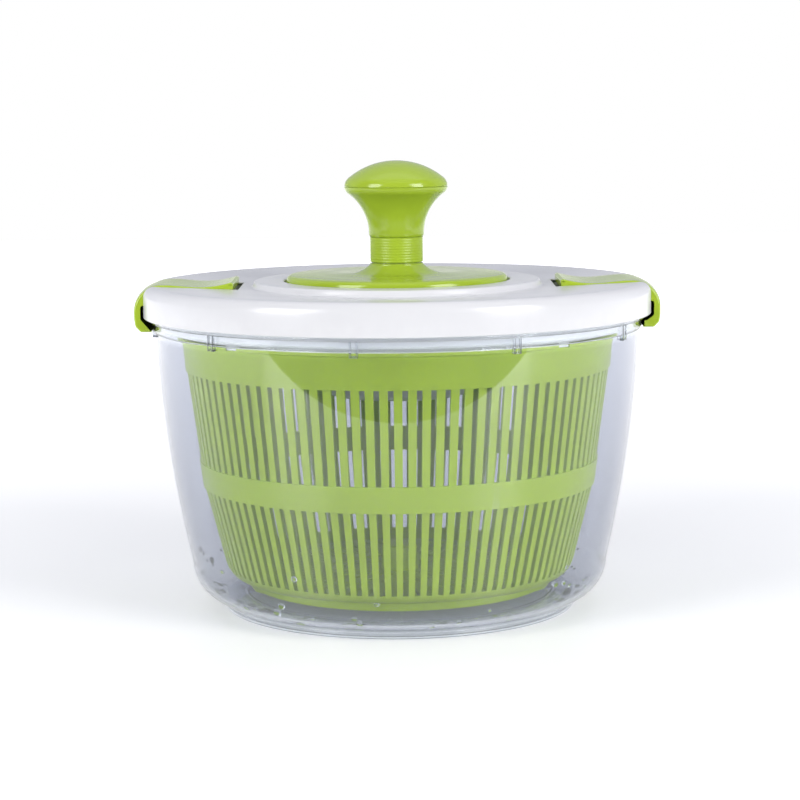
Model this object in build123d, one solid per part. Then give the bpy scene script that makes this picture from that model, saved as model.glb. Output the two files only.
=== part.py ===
"""Press-knob salad spinner: clear bowl, slotted basket, lid with two rocker latches and a spiral drive.

The origin is the centre of the footprint, +Z is up and -Y is the front. All sizes are in millimetres.
"""
import math
import os

from build123d import *

# Bowl
BOWL_WALL = 2.2
BOWL_TOP_Z = 144.6
BOWL_TOP_R = 119.0
BOWL_BULGE_R, BOWL_BULGE_Z = 113.7, 80.0
BOWL_CORNER_R = 18.9
BOWL_WAIST_R, BOWL_WAIST_Z = 103.3, 22.8
FOOT_RADIUS = 87.7
FOOT_HEIGHT = 3.9
FOOT_INNER_R = 79.0
RIM_FLANGE_R = 122.2
RIM_FLANGE_THICK = 2.0
RIM_BAND_R = 120.4
RIM_BAND_Z = 137.3
LUG_COUNT = 10
LUG_START_DEG = -99.4
LUG_R = 120.6
LUG_LOW_Z = 135.2
STUD_R = 4.0
STUD_TOP_Z = 22.0

# Basket
BASKET_WALL = 1.8
BASKET_RIM_R = 108.2
BASKET_TOP_Z = 136.6
BASKET_RIM_THICK = 2.0
BAND_TOP_Z = 118.8
BAND_MID_TOP_Z = 73.7
BAND_MID_LOW_Z = 61.2
SLOT_LOW_Z = 20.4
SLOT_COUNT = 100
SLOT_WIDTH = 2.6
BASKET_FOOT_R = 74.6
BASKET_FOOT_Z = 10.0
BASKET_FLOOR_Z = 14.2
BASKET_FLOOR_THICK = 2.0
BUSH_OUTER_R = 6.5
RUNNING_FIT = 0.06

# Lid
LID_R = 125.0
LID_TOP_Z = 158.0
LID_BROW_Z = 160.0
LID_THICK = 2.2
LID_SHOULDER_R = 8.0
PLATEAU_R = 70.4
PLATEAU_Z = 161.0
RECESS_R = 55.6
LINER_TOP_Z = 147.8
LINER_THICK = 1.8
LINER_SKIRT_R = 116.2
LINER_SKIRT_Z = 139.0
LINER_BORE_R = 31.0
BOSS_CIRCLE_R = 98.0
SCREW_R = 1.3

# Drive cover and the guide in it
COVER_R = 54.4
COVER_RIM_Z = 163.6
COVER_INNER_Z = 164.0
COLLAR_FOOT_R = 22.0
COLLAR_LIP_R = 13.2
COLLAR_LIP_Z = 169.0
GUIDE_OUTER_R = 14.4
GUIDE_LOW_Z = 155.0
COVER_SCREW_CIRCLE_R = 42.0

# Plunger: knob, tube and nut
TUBE_R = 12.0
TUBE_BORE_R = 10.2
TUBE_LOW_Z = 125.5
TUBE_TOP_Z = 196.0
NUT_HEIGHT = 8.0
SLEEVE_R = 13.0
SLEEVE_LOW_Z = 169.6
KNOB_LOW_Z = 182.1
KNOB_R = 25.4
KNOB_SEAM_Z = 206.6
KNOB_TOP_Z = 219.2
KNOB_CROWN_R, KNOB_CROWN_Z = 23.3, 210.86
SPRING_SEAT_Z = 211.5
SPRING_R = 8.4
SPRING_WIRE_R = 0.7
SPRING_TURNS = 11

# Spiral rod, its housing and the one-way clutch
ROD_SIDE = 8.0
ROD_LEAD = 24.0
ROD_TOP_Z = 168.0
ROD_TWIST_LOW_Z = 121.2
ROD_JOURNAL_R = 6.5
ROD_KEY_SIDE = 9.0
ROD_KEY_LOW_Z = 107.4
ROD_END_R = 5.0
ROD_END_Z = 101.6
HOUSING_R = 29.0
HOUSING_FLOOR_Z = 116.0
HOUSING_FLANGE_R = 50.0
HUB_R = 11.0
HUB_TOP_Z = 114.4
RATCHET_TIP_R = 17.0
RATCHET_ROOT_R = 19.2
RATCHET_OUTER_R = 22.0
RATCHET_TEETH = 18
RATCHET_TOP_Z = 113.2
PAWL_COUNT = 3

# Drive plate, the turning inner cover
PLATE_THICK = 2.2
PLATE_FLOOR_Z = 104.6
PLATE_CUP_R = 36.0
PLATE_DISC_Z = 137.2
PLATE_R = 107.4
PLATE_LIP_R = 102.2
DRIVE_LUGS = 4

# Rocker latches
LATCH_WIDTH = 44.0
LATCH_SIDE_GAP = 0.4
LATCH_OUTER_R = 129.4
LATCH_INNER_R = 126.0
LATCH_TOE_R = 121.0
LATCH_TOP_Z = 160.6
LATCH_TAIL_X = 79.3
LATCH_TAIL_Z = 161.7
LATCH_WAIST_Z = 159.5
PIVOT_X, PIVOT_Z = 119.5, 153.2
PIN_R = 1.25
POCKET_END_X = 77.2
POCKET_FLOOR_Z = 149.4
POCKET_WALL = 2.4


# ---------------------------------------------------------------- helpers

def turned(*steps):
    """Turn an outline about Z. A step is a point (r, z), or (point passed, end point) for an arc."""
    edges = []
    here = steps[0]
    for step in steps[1:] + steps[:1]:
        if isinstance(step[0], tuple):
            passed, end = step
            edges.append(ThreePointArc(*[(r, 0, z) for r, z in (here, passed, end)]))
        else:
            end = step
            edges.append(Line((here[0], 0, here[1]), (end[0], 0, end[1])))
        here = end
    return revolve(Face(Wire(edges)), Axis.Z, 360)


def ring(inner_r, outer_r, low_z, high_z):
    """A plain ring or, with no inner radius, a disc."""
    return turned((inner_r, low_z), (outer_r, low_z), (outer_r, high_z), (inner_r, high_z))


def block(x_range, y_range, z_range):
    """A box between two values on each axis."""
    spans = [high - low for low, high in (x_range, y_range, z_range)]
    centre = [(high + low) / 2 for low, high in (x_range, y_range, z_range)]
    return Pos(*centre) * Box(*spans)


def on_circle(shape, count, start_deg=0.0):
    """Copies of a shape made on the +X side, spread evenly about Z."""
    return [Rot(0, 0, start_deg + 360 * k / count) * shape for k in range(count)]


def on_arc(centre, radius, angle_deg):
    """The (r, z) point on an arc; 0 degrees points outwards and -90 points down."""
    angle = math.radians(angle_deg)
    return centre[0] + radius * math.cos(angle), centre[1] + radius * math.sin(angle)


def screw(head_z, length, head_r=2.6, head_height=1.6):
    """A self-tapping screw on the Z axis, driven upwards, with a cross recess in its head."""
    body = turned((0, head_z - head_height), (head_r - 0.4, head_z - head_height),
                  (head_r, head_z - head_height + 0.5), (head_r, head_z), (SCREW_R, head_z),
                  (SCREW_R, head_z + length - 1.0), (0, head_z + length))
    slot = Pos(0, 0, head_z - head_height) * Box(2.6, 0.6, 1.6)
    return body - slot - Rot(0, 0, 90) * slot


# ---------------------------------------------------------------- bowl

def make_bowl():
    """The clear bowl: a bulged wall on a round corner, rim flange, ten small rim lugs and a pivot stud."""
    corner = (BOWL_WAIST_R - BOWL_CORNER_R, BOWL_WAIST_Z)
    inner_corner_r = BOWL_CORNER_R - BOWL_WALL
    flange_z = BOWL_TOP_Z - RIM_FLANGE_THICK
    shell = turned(
        (0, FOOT_HEIGHT), (corner[0], FOOT_HEIGHT),
        (on_arc(corner, BOWL_CORNER_R, -45), (BOWL_WAIST_R, BOWL_WAIST_Z)),
        ((BOWL_BULGE_R, BOWL_BULGE_Z), (BOWL_TOP_R, RIM_BAND_Z)),
        (RIM_BAND_R, RIM_BAND_Z + 0.6), (RIM_BAND_R, flange_z),
        (RIM_FLANGE_R - 0.5, flange_z), (RIM_FLANGE_R, flange_z + 0.5),
        (RIM_FLANGE_R, BOWL_TOP_Z - 0.5), (RIM_FLANGE_R - 0.5, BOWL_TOP_Z),
        (BOWL_TOP_R - BOWL_WALL + 0.3, BOWL_TOP_Z), (BOWL_TOP_R - BOWL_WALL, BOWL_TOP_Z - 0.4),
        (BOWL_TOP_R - BOWL_WALL, RIM_BAND_Z),
        ((BOWL_BULGE_R - BOWL_WALL, BOWL_BULGE_Z), (BOWL_WAIST_R - BOWL_WALL, BOWL_WAIST_Z)),
        (on_arc(corner, inner_corner_r, -45), (corner[0], FOOT_HEIGHT + BOWL_WALL)),
        (9.0, FOOT_HEIGHT + BOWL_WALL), (5.4, 11.4), (STUD_R, 12.4),
        (STUD_R, STUD_TOP_Z - 1.0), (STUD_R - 1.0, STUD_TOP_Z), (0, STUD_TOP_Z))
    locating_rib = ring(FOOT_INNER_R - 2.6, FOOT_INNER_R - 0.3, FOOT_HEIGHT - 1.6, FOOT_HEIGHT)
    lug = (block((BOWL_TOP_R - 1.0, LUG_R), (-2.0, 2.0), (LUG_LOW_Z, flange_z))
           - block((BOWL_TOP_R + 0.4, LUG_R + 1), (-1.1, 1.1), (LUG_LOW_Z + 0.9, flange_z)))
    return shell + locating_rib + on_circle(lug, LUG_COUNT, LUG_START_DEG)


def make_foot_ring():
    """The translucent non-slip ring that the bowl stands on."""
    return turned((FOOT_INNER_R, 0.5), (FOOT_INNER_R + 0.5, 0), (FOOT_RADIUS - 0.6, 0),
                  (FOOT_RADIUS, 0.6), (FOOT_RADIUS, FOOT_HEIGHT), (FOOT_INNER_R, FOOT_HEIGHT))


# ---------------------------------------------------------------- basket

def make_basket():
    """The slotted basket, with its foot ring, floor slots, hub and the rim notches that drive it."""
    floor_top = BASKET_FLOOR_Z + BASKET_FLOOR_THICK
    shell = turned(
        (BASKET_FOOT_R - 2.0, BASKET_FOOT_Z), (BASKET_FOOT_R, BASKET_FOOT_Z),
        (BASKET_FOOT_R + 0.4, BASKET_FLOOR_Z),
        ((84.0, 17.6), (88.0, 27.0)),
        (96.6, BAND_MID_LOW_Z), (97.3, BAND_MID_LOW_Z), (98.9, BAND_MID_TOP_Z),
        (98.2, BAND_MID_TOP_Z), (104.2, BAND_TOP_Z), (104.9, BAND_TOP_Z),
        (106.2, BASKET_TOP_Z - BASKET_RIM_THICK), (BASKET_RIM_R, BASKET_TOP_Z - BASKET_RIM_THICK),
        (BASKET_RIM_R, BASKET_TOP_Z - 0.4), (BASKET_RIM_R - 0.4, BASKET_TOP_Z),
        (104.5, BASKET_TOP_Z), (102.4, BAND_TOP_Z), (96.4, BAND_MID_TOP_Z),
        (94.8, BAND_MID_LOW_Z), (88.0 - BASKET_WALL, 27.5),
        ((82.6, 19.3), (BASKET_FOOT_R, floor_top)),
        (9.4, floor_top), (9.0, 27.6), (8.2, 28.4), (0, 28.4),
        (0, 25.8), (BUSH_OUTER_R, 25.8), (BUSH_OUTER_R, BASKET_FLOOR_Z),
        (BASKET_FOOT_R - 2.0, BASKET_FLOOR_Z))
    wall_slots = []
    for low_z, high_z in ((SLOT_LOW_Z, BAND_MID_LOW_Z), (BAND_MID_TOP_Z, BAND_TOP_Z)):
        plate = block((-BASKET_RIM_R, BASKET_RIM_R), (-SLOT_WIDTH / 2, SLOT_WIDTH / 2), (low_z, high_z))
        keep_middle = ring(0, 60.0, low_z, high_z)
        wall_slots += [Rot(0, 0, 360 / SLOT_COUNT * (k + 0.5)) * (plate - keep_middle)
                       for k in range(SLOT_COUNT // 2)]
    floor_slots = []
    for inner_r, outer_r, count in ((15.0, 36.0, 24), (41.0, 68.0, 48)):
        slot = block((inner_r, outer_r), (-1.2, 1.2), (BASKET_FLOOR_Z - 1, floor_top + 1))
        floor_slots += on_circle(slot, count)
    notch = block((103.0, BASKET_RIM_R + 1), (-4.0, 4.0),
                  (BASKET_TOP_Z - BASKET_RIM_THICK, BASKET_TOP_Z + 1))
    return shell - wall_slots - floor_slots - on_circle(notch, DRIVE_LUGS, 45)


def make_basket_bush():
    """The acetal bush in the basket's hub that turns on the bowl's stud."""
    bore_r = STUD_R + RUNNING_FIT
    return turned((bore_r, BASKET_FLOOR_Z), (BUSH_OUTER_R, BASKET_FLOOR_Z), (BUSH_OUTER_R, 25.8),
                  (0, 25.8), (0, STUD_TOP_Z + 0.3), (bore_r, STUD_TOP_Z + 0.3))


# ---------------------------------------------------------------- lid

def lid_outline(inset):
    """The filled shape of the lid, highest near its edge; with an inset, the hollow inside its skin."""
    top_z = LID_TOP_Z - inset
    brow_z = LID_BROW_Z - inset
    outer_r = LID_R - inset
    shoulder = LID_SHOULDER_R - inset / 2
    centre = (outer_r - shoulder, brow_z - shoulder)
    low_z = BOWL_TOP_Z - (1.0 if inset else 0.0)
    return turned((0, low_z), (outer_r, low_z), (outer_r, centre[1]),
                  (on_arc(centre, shoulder, 45), (centre[0], brow_z)), (PLATEAU_R + 3.0, top_z), (0, top_z))


def make_lid_shell():
    """The white lid: shell, raised plateau with its recess, two latch pockets and six screw bosses."""
    skin = lid_outline(0)
    plateau = turned(
        (0, LID_TOP_Z - 0.1), (PLATEAU_R + 3.0, LID_TOP_Z - 0.1), (PLATEAU_R + 3.0, LID_TOP_Z),
        ((PLATEAU_R + 1.5, LID_TOP_Z + 0.45), (PLATEAU_R + 0.9, LID_TOP_Z + 1.4)),
        ((PLATEAU_R, PLATEAU_Z - 0.6), (PLATEAU_R - 1.5, PLATEAU_Z)),
        (RECESS_R + 0.8, PLATEAU_Z), (RECESS_R, PLATEAU_Z - 0.8), (RECESS_R, LID_TOP_Z), (0, LID_TOP_Z))
    under_plateau = ring(RECESS_R + LID_THICK, PLATEAU_R - 1.6, LID_TOP_Z - 3, PLATEAU_Z - LID_THICK)
    boss = Pos(BOSS_CIRCLE_R, 0, 0) * ring(0, 3.6, LINER_TOP_Z, LID_BROW_Z - LID_THICK)
    pilot = Pos(BOSS_CIRCLE_R, 0, 0) * ring(0, SCREW_R, LINER_TOP_Z - 1, LINER_TOP_Z + 6.5)
    centre_hole = ring(0, HOUSING_R - 2.2, LID_TOP_Z - 3, PLATEAU_Z)
    cover_boss_hole = Pos(COVER_SCREW_CIRCLE_R, 0, 0) * ring(0, 3.6, LID_TOP_Z - 3, LID_TOP_Z + 1)

    half_pocket = LATCH_WIDTH / 2 + LATCH_SIDE_GAP
    half_tub = half_pocket + POCKET_WALL
    tub = block((POCKET_END_X - POCKET_WALL, LID_R), (-half_tub, half_tub),
                (LINER_TOP_Z, LID_BROW_Z - 1.0))
    tub = tub & lid_outline(0)
    pocket = block((POCKET_END_X, LID_R + 5), (-half_pocket, half_pocket),
                   (POCKET_FLOOR_Z, LID_TOP_Z + 8))
    pin_hole = Pos(PIVOT_X, 0, PIVOT_Z) * Rot(90, 0, 0) * Cylinder(PIN_R, 2 * half_tub + 1)

    lid = skin - lid_outline(LID_THICK) + plateau - under_plateau
    lid = lid + on_circle(tub, 2) + on_circle(boss, 6, 30)
    lid = lid - on_circle(pocket, 2) - on_circle(pin_hole, 2) - on_circle(pilot, 6, 30)
    return lid - centre_hole - on_circle(cover_boss_hole, 4, 45)


def make_lid_liner():
    """The plate that closes the lid's underside; its skirt centres the lid in the bowl."""
    low_z = LINER_TOP_Z - LINER_THICK
    plate = turned(
        (LINER_BORE_R, low_z), (LINER_SKIRT_R - 2.0, low_z), (LINER_SKIRT_R - 2.0, LINER_SKIRT_Z),
        (LINER_SKIRT_R - 0.8, LINER_SKIRT_Z), (LINER_SKIRT_R, LINER_SKIRT_Z + 1.0),
        (LINER_SKIRT_R, LINER_TOP_Z), (LINER_BORE_R, LINER_TOP_Z))
    hole = Pos(BOSS_CIRCLE_R, 0, 0) * ring(0, SCREW_R + 0.3, low_z - 1, LINER_TOP_Z + 1)
    return plate - on_circle(hole, 6, 30)


def make_liner_screws():
    """Six screws that hold the liner to the lid."""
    return on_circle(Pos(BOSS_CIRCLE_R, 0, 0) * screw(LINER_TOP_Z - LINER_THICK, 7.5), 6, 30)


def make_drive_cover():
    """The green disc in the middle of the lid, with the flared collar that the plunger slides through."""
    bore_r = TUBE_R + 0.35
    disc = turned(
        (COVER_R - 2.2, LID_TOP_Z), (COVER_R, LID_TOP_Z), (COVER_R, COVER_RIM_Z - 2.6),
        ((COVER_R - 0.76, COVER_RIM_Z - 0.76), (COVER_R - 2.6, COVER_RIM_Z)),
        (COLLAR_FOOT_R, COVER_INNER_Z), ((16.8, 165.8), (COLLAR_LIP_R, COLLAR_LIP_Z - 0.5)),
        (COLLAR_LIP_R - 0.3, COLLAR_LIP_Z), (bore_r, COLLAR_LIP_Z), (bore_r, 163.2),
        (GUIDE_OUTER_R, 163.2), (GUIDE_OUTER_R, 156.0), (GUIDE_OUTER_R + 2.2, 156.0),
        (GUIDE_OUTER_R + 2.2, COVER_INNER_Z - 2.4), (COVER_R - 2.2, COVER_RIM_Z - 2.2))
    boss = (Pos(COVER_SCREW_CIRCLE_R, 0, 0)
            * (ring(0, 3.2, LID_TOP_Z - LID_THICK, COVER_RIM_Z - 1.6)
               - ring(0, SCREW_R, LID_TOP_Z - LID_THICK - 1, COVER_RIM_Z - 2.4)))
    return disc + on_circle(boss, 4, 45)


def make_guide_bush():
    """The acetal bush that guides the plunger tube."""
    return ring(TUBE_R + RUNNING_FIT, GUIDE_OUTER_R, GUIDE_LOW_Z, 163.2)


def make_mechanism_housing():
    """The cup under the lid that carries the spiral rod's bearing."""
    top_z = LID_TOP_Z - LID_THICK
    cup = turned(
        (9.0, HOUSING_FLOOR_Z), (HOUSING_R - 1.0, HOUSING_FLOOR_Z), (HOUSING_R, HOUSING_FLOOR_Z + 1.0),
        (HOUSING_R, top_z - 2.2), (HOUSING_FLANGE_R, top_z - 2.2), (HOUSING_FLANGE_R, top_z),
        (HOUSING_R - 2.2, top_z), (HOUSING_R - 2.2, HOUSING_FLOOR_Z + 2.2), (9.0, HOUSING_FLOOR_Z + 2.2))
    hole = Pos(COVER_SCREW_CIRCLE_R, 0, 0) * ring(0, SCREW_R + 0.3, top_z - 3, top_z + 1)
    return cup - on_circle(hole, 4, 45)


def make_housing_screws():
    """Four screws that clamp the housing and the drive cover to the lid between them."""
    head_z = LID_TOP_Z - LID_THICK - 2.2
    return on_circle(Pos(COVER_SCREW_CIRCLE_R, 0, 0) * screw(head_z, 5.4), 4, 45)


def make_rod_bearing():
    """The flanged bush in the housing floor."""
    bore_r = ROD_JOURNAL_R + RUNNING_FIT
    low_z = HOUSING_FLOOR_Z
    return turned((bore_r, low_z), (9.0, low_z), (9.0, low_z + 2.2), (12.0, low_z + 2.2),
                  (12.0, low_z + 3.4), (bore_r, low_z + 3.4))


# ---------------------------------------------------------------- plunger

def twisted_bar(side, low_z, high_z, corner_r):
    """A square bar with rounded corners, twisted about Z so that it makes one turn in ROD_LEAD."""
    height = high_z - low_z
    section = Pos(0, 0, low_z) * Rot(0, 0, 360 * low_z / ROD_LEAD) * RectangleRounded(side, side, corner_r)
    outline = section.face().outer_wire()
    return Solid.extrude_linear_with_rotation(outline, (0, 0, low_z), (0, 0, height),
                                              360 * height / ROD_LEAD)


def make_knob_body():
    """The flared lower half of the knob, with the socket for the plunger tube."""
    return turned(
        (TUBE_R, KNOB_LOW_Z), (13.0, KNOB_LOW_Z), (13.6, KNOB_LOW_Z + 0.8),
        ((16.1, 194.2), (23.4, 203.0)), ((25.0, 204.8), (KNOB_R, 206.4)),
        (KNOB_R, KNOB_SEAM_Z), (23.0, KNOB_SEAM_Z), (19.6, 204.0),
        (15.6, 200.0), (14.2, 198.0), (TUBE_BORE_R, 198.0), (TUBE_BORE_R, TUBE_TOP_Z), (TUBE_R, TUBE_TOP_Z))


def make_knob_cap():
    """The domed top of the knob, with the seat and the peg that hold the spring's upper end."""
    seam_z = KNOB_SEAM_Z
    crown_height = KNOB_TOP_Z - KNOB_CROWN_Z
    crown_r = (KNOB_CROWN_R ** 2 + crown_height ** 2) / (2 * crown_height)
    crown_deg = math.degrees(math.asin(KNOB_CROWN_R / crown_r))
    return turned(
        (23.0, seam_z), (KNOB_R - 0.3, seam_z), (KNOB_R - 0.1, seam_z + 0.5),
        ((24.67, 209.2), (KNOB_CROWN_R, KNOB_CROWN_Z)),
        (on_arc((0, KNOB_TOP_Z - crown_r), crown_r, 90 - crown_deg / 2), (0, KNOB_TOP_Z)),
        (0, 207.0), (4.0, 207.0), (4.0, SPRING_SEAT_Z), (11.4, SPRING_SEAT_Z), (11.4, 213.6),
        ((17.6, 211.2), (22.2, 208.0)))


def make_stop_sleeve():
    """The soft ribbed sleeve under the knob, which meets the collar at the end of the stroke."""
    sleeve = ring(TUBE_R, SLEEVE_R, SLEEVE_LOW_Z, KNOB_LOW_Z)
    groove_pitch = 1.3
    grooves = [ring(SLEEVE_R - 0.2, SLEEVE_R + 1, z, z + 0.35)
               for z in (SLEEVE_LOW_Z + 0.9 + groove_pitch * k for k in range(9))]
    return sleeve - grooves


def make_plunger_tube():
    """The tube that joins the knob to the nut."""
    return turned((TUBE_BORE_R, TUBE_LOW_Z), (TUBE_R - 0.5, TUBE_LOW_Z), (TUBE_R, TUBE_LOW_Z + 0.5),
                  (TUBE_R, TUBE_TOP_Z), (TUBE_BORE_R, TUBE_TOP_Z))


def make_drive_nut():
    """The nut in the foot of the tube; its twisted bore turns the spiral rod."""
    body = ring(0, TUBE_BORE_R, TUBE_LOW_Z, TUBE_LOW_Z + NUT_HEIGHT)
    return body - twisted_bar(ROD_SIDE + 0.6, TUBE_LOW_Z - 1, TUBE_LOW_Z + NUT_HEIGHT + 1, 1.3)


def make_spring_cap():
    """The loose cap on the rod's top end that the return spring stands on."""
    low_z = ROD_TOP_Z
    return turned((0, low_z), (9.6, low_z), (9.6, low_z + 1.4), (7.0, low_z + 1.4), (6.6, low_z + 3.6),
                  (0, low_z + 3.6))


def make_return_spring():
    """The coil spring between the spring cap and the knob."""
    low_z = ROD_TOP_Z + 1.4 + SPRING_WIRE_R + 0.05
    high_z = SPRING_SEAT_Z - SPRING_WIRE_R - 0.05
    path = Helix(pitch=(high_z - low_z) / SPRING_TURNS, height=high_z - low_z, radius=SPRING_R,
                 center=(0, 0, low_z))
    section = Plane(origin=path @ 0, z_dir=path % 0) * Circle(SPRING_WIRE_R)
    return sweep(section, path=path)


# ---------------------------------------------------------------- rod and clutch

def make_spiral_rod():
    """The rod: end pin, square key for the clutch hub, journal, collar and twisted drive length."""
    key_top = HUB_TOP_Z + 0.3
    collar_z = HOUSING_FLOOR_Z + 3.4
    rod = (ring(0, ROD_END_R, ROD_END_Z, ROD_KEY_LOW_Z)
           + block(*[(-ROD_KEY_SIDE / 2, ROD_KEY_SIDE / 2)] * 2, (ROD_KEY_LOW_Z, key_top))
           + ring(0, ROD_JOURNAL_R, key_top, collar_z)
           + ring(0, ROD_JOURNAL_R + 2.0, collar_z, ROD_TWIST_LOW_Z))
    groove = ring(ROD_END_R - 0.8, ROD_END_R + 1, ROD_END_Z + 1.2, ROD_END_Z + 2.2)
    return rod + twisted_bar(ROD_SIDE, ROD_TWIST_LOW_Z - 0.1, ROD_TOP_Z, 1.0) - groove


def make_rod_clip():
    """The spring clip on the rod's end that holds the drive plate up."""
    clip_z = ROD_END_Z + 1.2
    return (ring(ROD_END_R - 0.8, 7.6, clip_z, clip_z + 1.0)
            - block((0, 10), (-3.4, 3.4), (clip_z - 1, clip_z + 2)))


def make_plate_washer():
    """The washer between the clip and the drive plate."""
    return ring(ROD_END_R + 0.1, 9.5, ROD_END_Z + 2.2, PLATE_FLOOR_Z)


def pawl_shape():
    """One pawl on the +X side: a round heel in the hub's pocket and a nose in a ratchet tooth."""
    heel_x = HUB_R - 1.2
    heel = Pos(heel_x, 0, 0) * Cylinder(1.9, RATCHET_TOP_Z - ROD_KEY_LOW_Z - 0.8)
    nose = Polygon((heel_x - 1.0, 1.6), (heel_x + 1.7, -0.8), (RATCHET_TIP_R + 0.6, 4.2),
                   (RATCHET_TIP_R - 0.9, 5.4), align=None)
    nose = extrude(nose, (RATCHET_TOP_Z - ROD_KEY_LOW_Z - 0.8) / 2, both=True)
    return Pos(0, 0, (RATCHET_TOP_Z + ROD_KEY_LOW_Z) / 2) * (heel + nose)


def make_clutch_hub():
    """The hub keyed to the rod, with three pockets for the pawls' heels."""
    hub = ring(0, HUB_R, ROD_KEY_LOW_Z, HUB_TOP_Z)
    key_hole = block(*[(-ROD_KEY_SIDE / 2, ROD_KEY_SIDE / 2)] * 2, (ROD_KEY_LOW_Z - 1, HUB_TOP_Z + 1))
    pocket = Pos(HUB_R - 1.2, 0, (RATCHET_TOP_Z + ROD_KEY_LOW_Z) / 2) * Cylinder(2.1, 5.4)
    opening = block((HUB_R - 1.2, HUB_R + 2), (-2.1, 3.2), (ROD_KEY_LOW_Z + 0.2, RATCHET_TOP_Z - 0.2))
    return hub - key_hole - on_circle(pocket, PAWL_COUNT) - on_circle(opening, PAWL_COUNT)


def make_clutch_pawls():
    """Three pawls as separate solids."""
    return on_circle(pawl_shape(), PAWL_COUNT)


def make_ratchet_ring():
    """The ring of saw-shaped inner teeth that the pawls drive."""
    pitch = 360 / RATCHET_TEETH
    points = []
    for k in range(RATCHET_TEETH):
        for radius, angle in ((RATCHET_TIP_R, k * pitch + 10), (RATCHET_ROOT_R, k * pitch + 11.5)):
            turn = math.radians(angle)
            points.append((radius * math.cos(turn), radius * math.sin(turn)))
    height = RATCHET_TOP_Z - ROD_KEY_LOW_Z
    teeth = extrude(Polygon(*points, align=None), height + 2)
    return ring(0, RATCHET_OUTER_R, ROD_KEY_LOW_Z, RATCHET_TOP_Z) - Pos(0, 0, ROD_KEY_LOW_Z - 1) * teeth


# ---------------------------------------------------------------- drive plate

def make_drive_plate():
    """The turning inner cover: a dished plate whose four lugs drive the basket's rim."""
    floor_top = PLATE_FLOOR_Z + PLATE_THICK
    disc_top = PLATE_DISC_Z + PLATE_THICK
    plate = turned(
        (ROD_END_R + RUNNING_FIT, PLATE_FLOOR_Z), (PLATE_CUP_R - 3.0, PLATE_FLOOR_Z),
        ((PLATE_CUP_R - 0.9, PLATE_FLOOR_Z + 0.9), (PLATE_CUP_R, PLATE_FLOOR_Z + 3.0)),
        (PLATE_CUP_R + 2.0, PLATE_DISC_Z), (PLATE_LIP_R - 1.8, PLATE_DISC_Z), (PLATE_LIP_R - 1.8, 131.5),
        (PLATE_LIP_R - 0.6, 131.0), (PLATE_LIP_R, 131.6), (PLATE_LIP_R, PLATE_DISC_Z),
        (PLATE_R, PLATE_DISC_Z), (PLATE_R, disc_top), (PLATE_CUP_R, disc_top),
        (PLATE_CUP_R - PLATE_THICK, floor_top + 1.6), (PLATE_CUP_R - PLATE_THICK - 1.6, floor_top),
        (RATCHET_OUTER_R + 2.2, floor_top), (RATCHET_OUTER_R + 2.2, RATCHET_TOP_Z),
        (RATCHET_OUTER_R, RATCHET_TOP_Z), (RATCHET_OUTER_R, floor_top),
        (ROD_END_R + RUNNING_FIT, floor_top))
    lug = block((104.8, PLATE_R), (-3.6, 3.6), (BASKET_TOP_Z - BASKET_RIM_THICK + 0.3, PLATE_DISC_Z))
    rib = block((PLATE_CUP_R + 1.2, PLATE_R - 2), (-0.9, 0.9), (disc_top, disc_top + 1.6))
    screw_boss = Pos(27.0, 0, 0) * (ring(0, 2.9, floor_top, RATCHET_TOP_Z)
                                    - ring(0, SCREW_R, floor_top, RATCHET_TOP_Z + 1))
    return plate + on_circle(lug, DRIVE_LUGS, 45) + on_circle(rib, 12) + on_circle(screw_boss, 3, 60)


def make_clutch_cover():
    """The thin plate that closes the clutch."""
    low_z = RATCHET_TOP_Z
    cover = ring(HUB_R + 0.6, 30.2, low_z, low_z + 1.0)
    hole = Pos(27.0, 0, 0) * ring(0, SCREW_R + 0.2, low_z - 1, low_z + 2)
    return cover - on_circle(hole, 3, 60)


def make_cover_screws():
    """Three screws, driven downwards, that hold the clutch cover."""
    head_z = RATCHET_TOP_Z + 1.0
    down = Pos(0, 0, head_z) * Rot(180, 0, 0) * Pos(0, 0, -head_z) * screw(head_z, 5.6, 2.3, 1.2)
    return on_circle(Pos(27.0, 0, 0) * down, 3, 60)


# ---------------------------------------------------------------- latches

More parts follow.
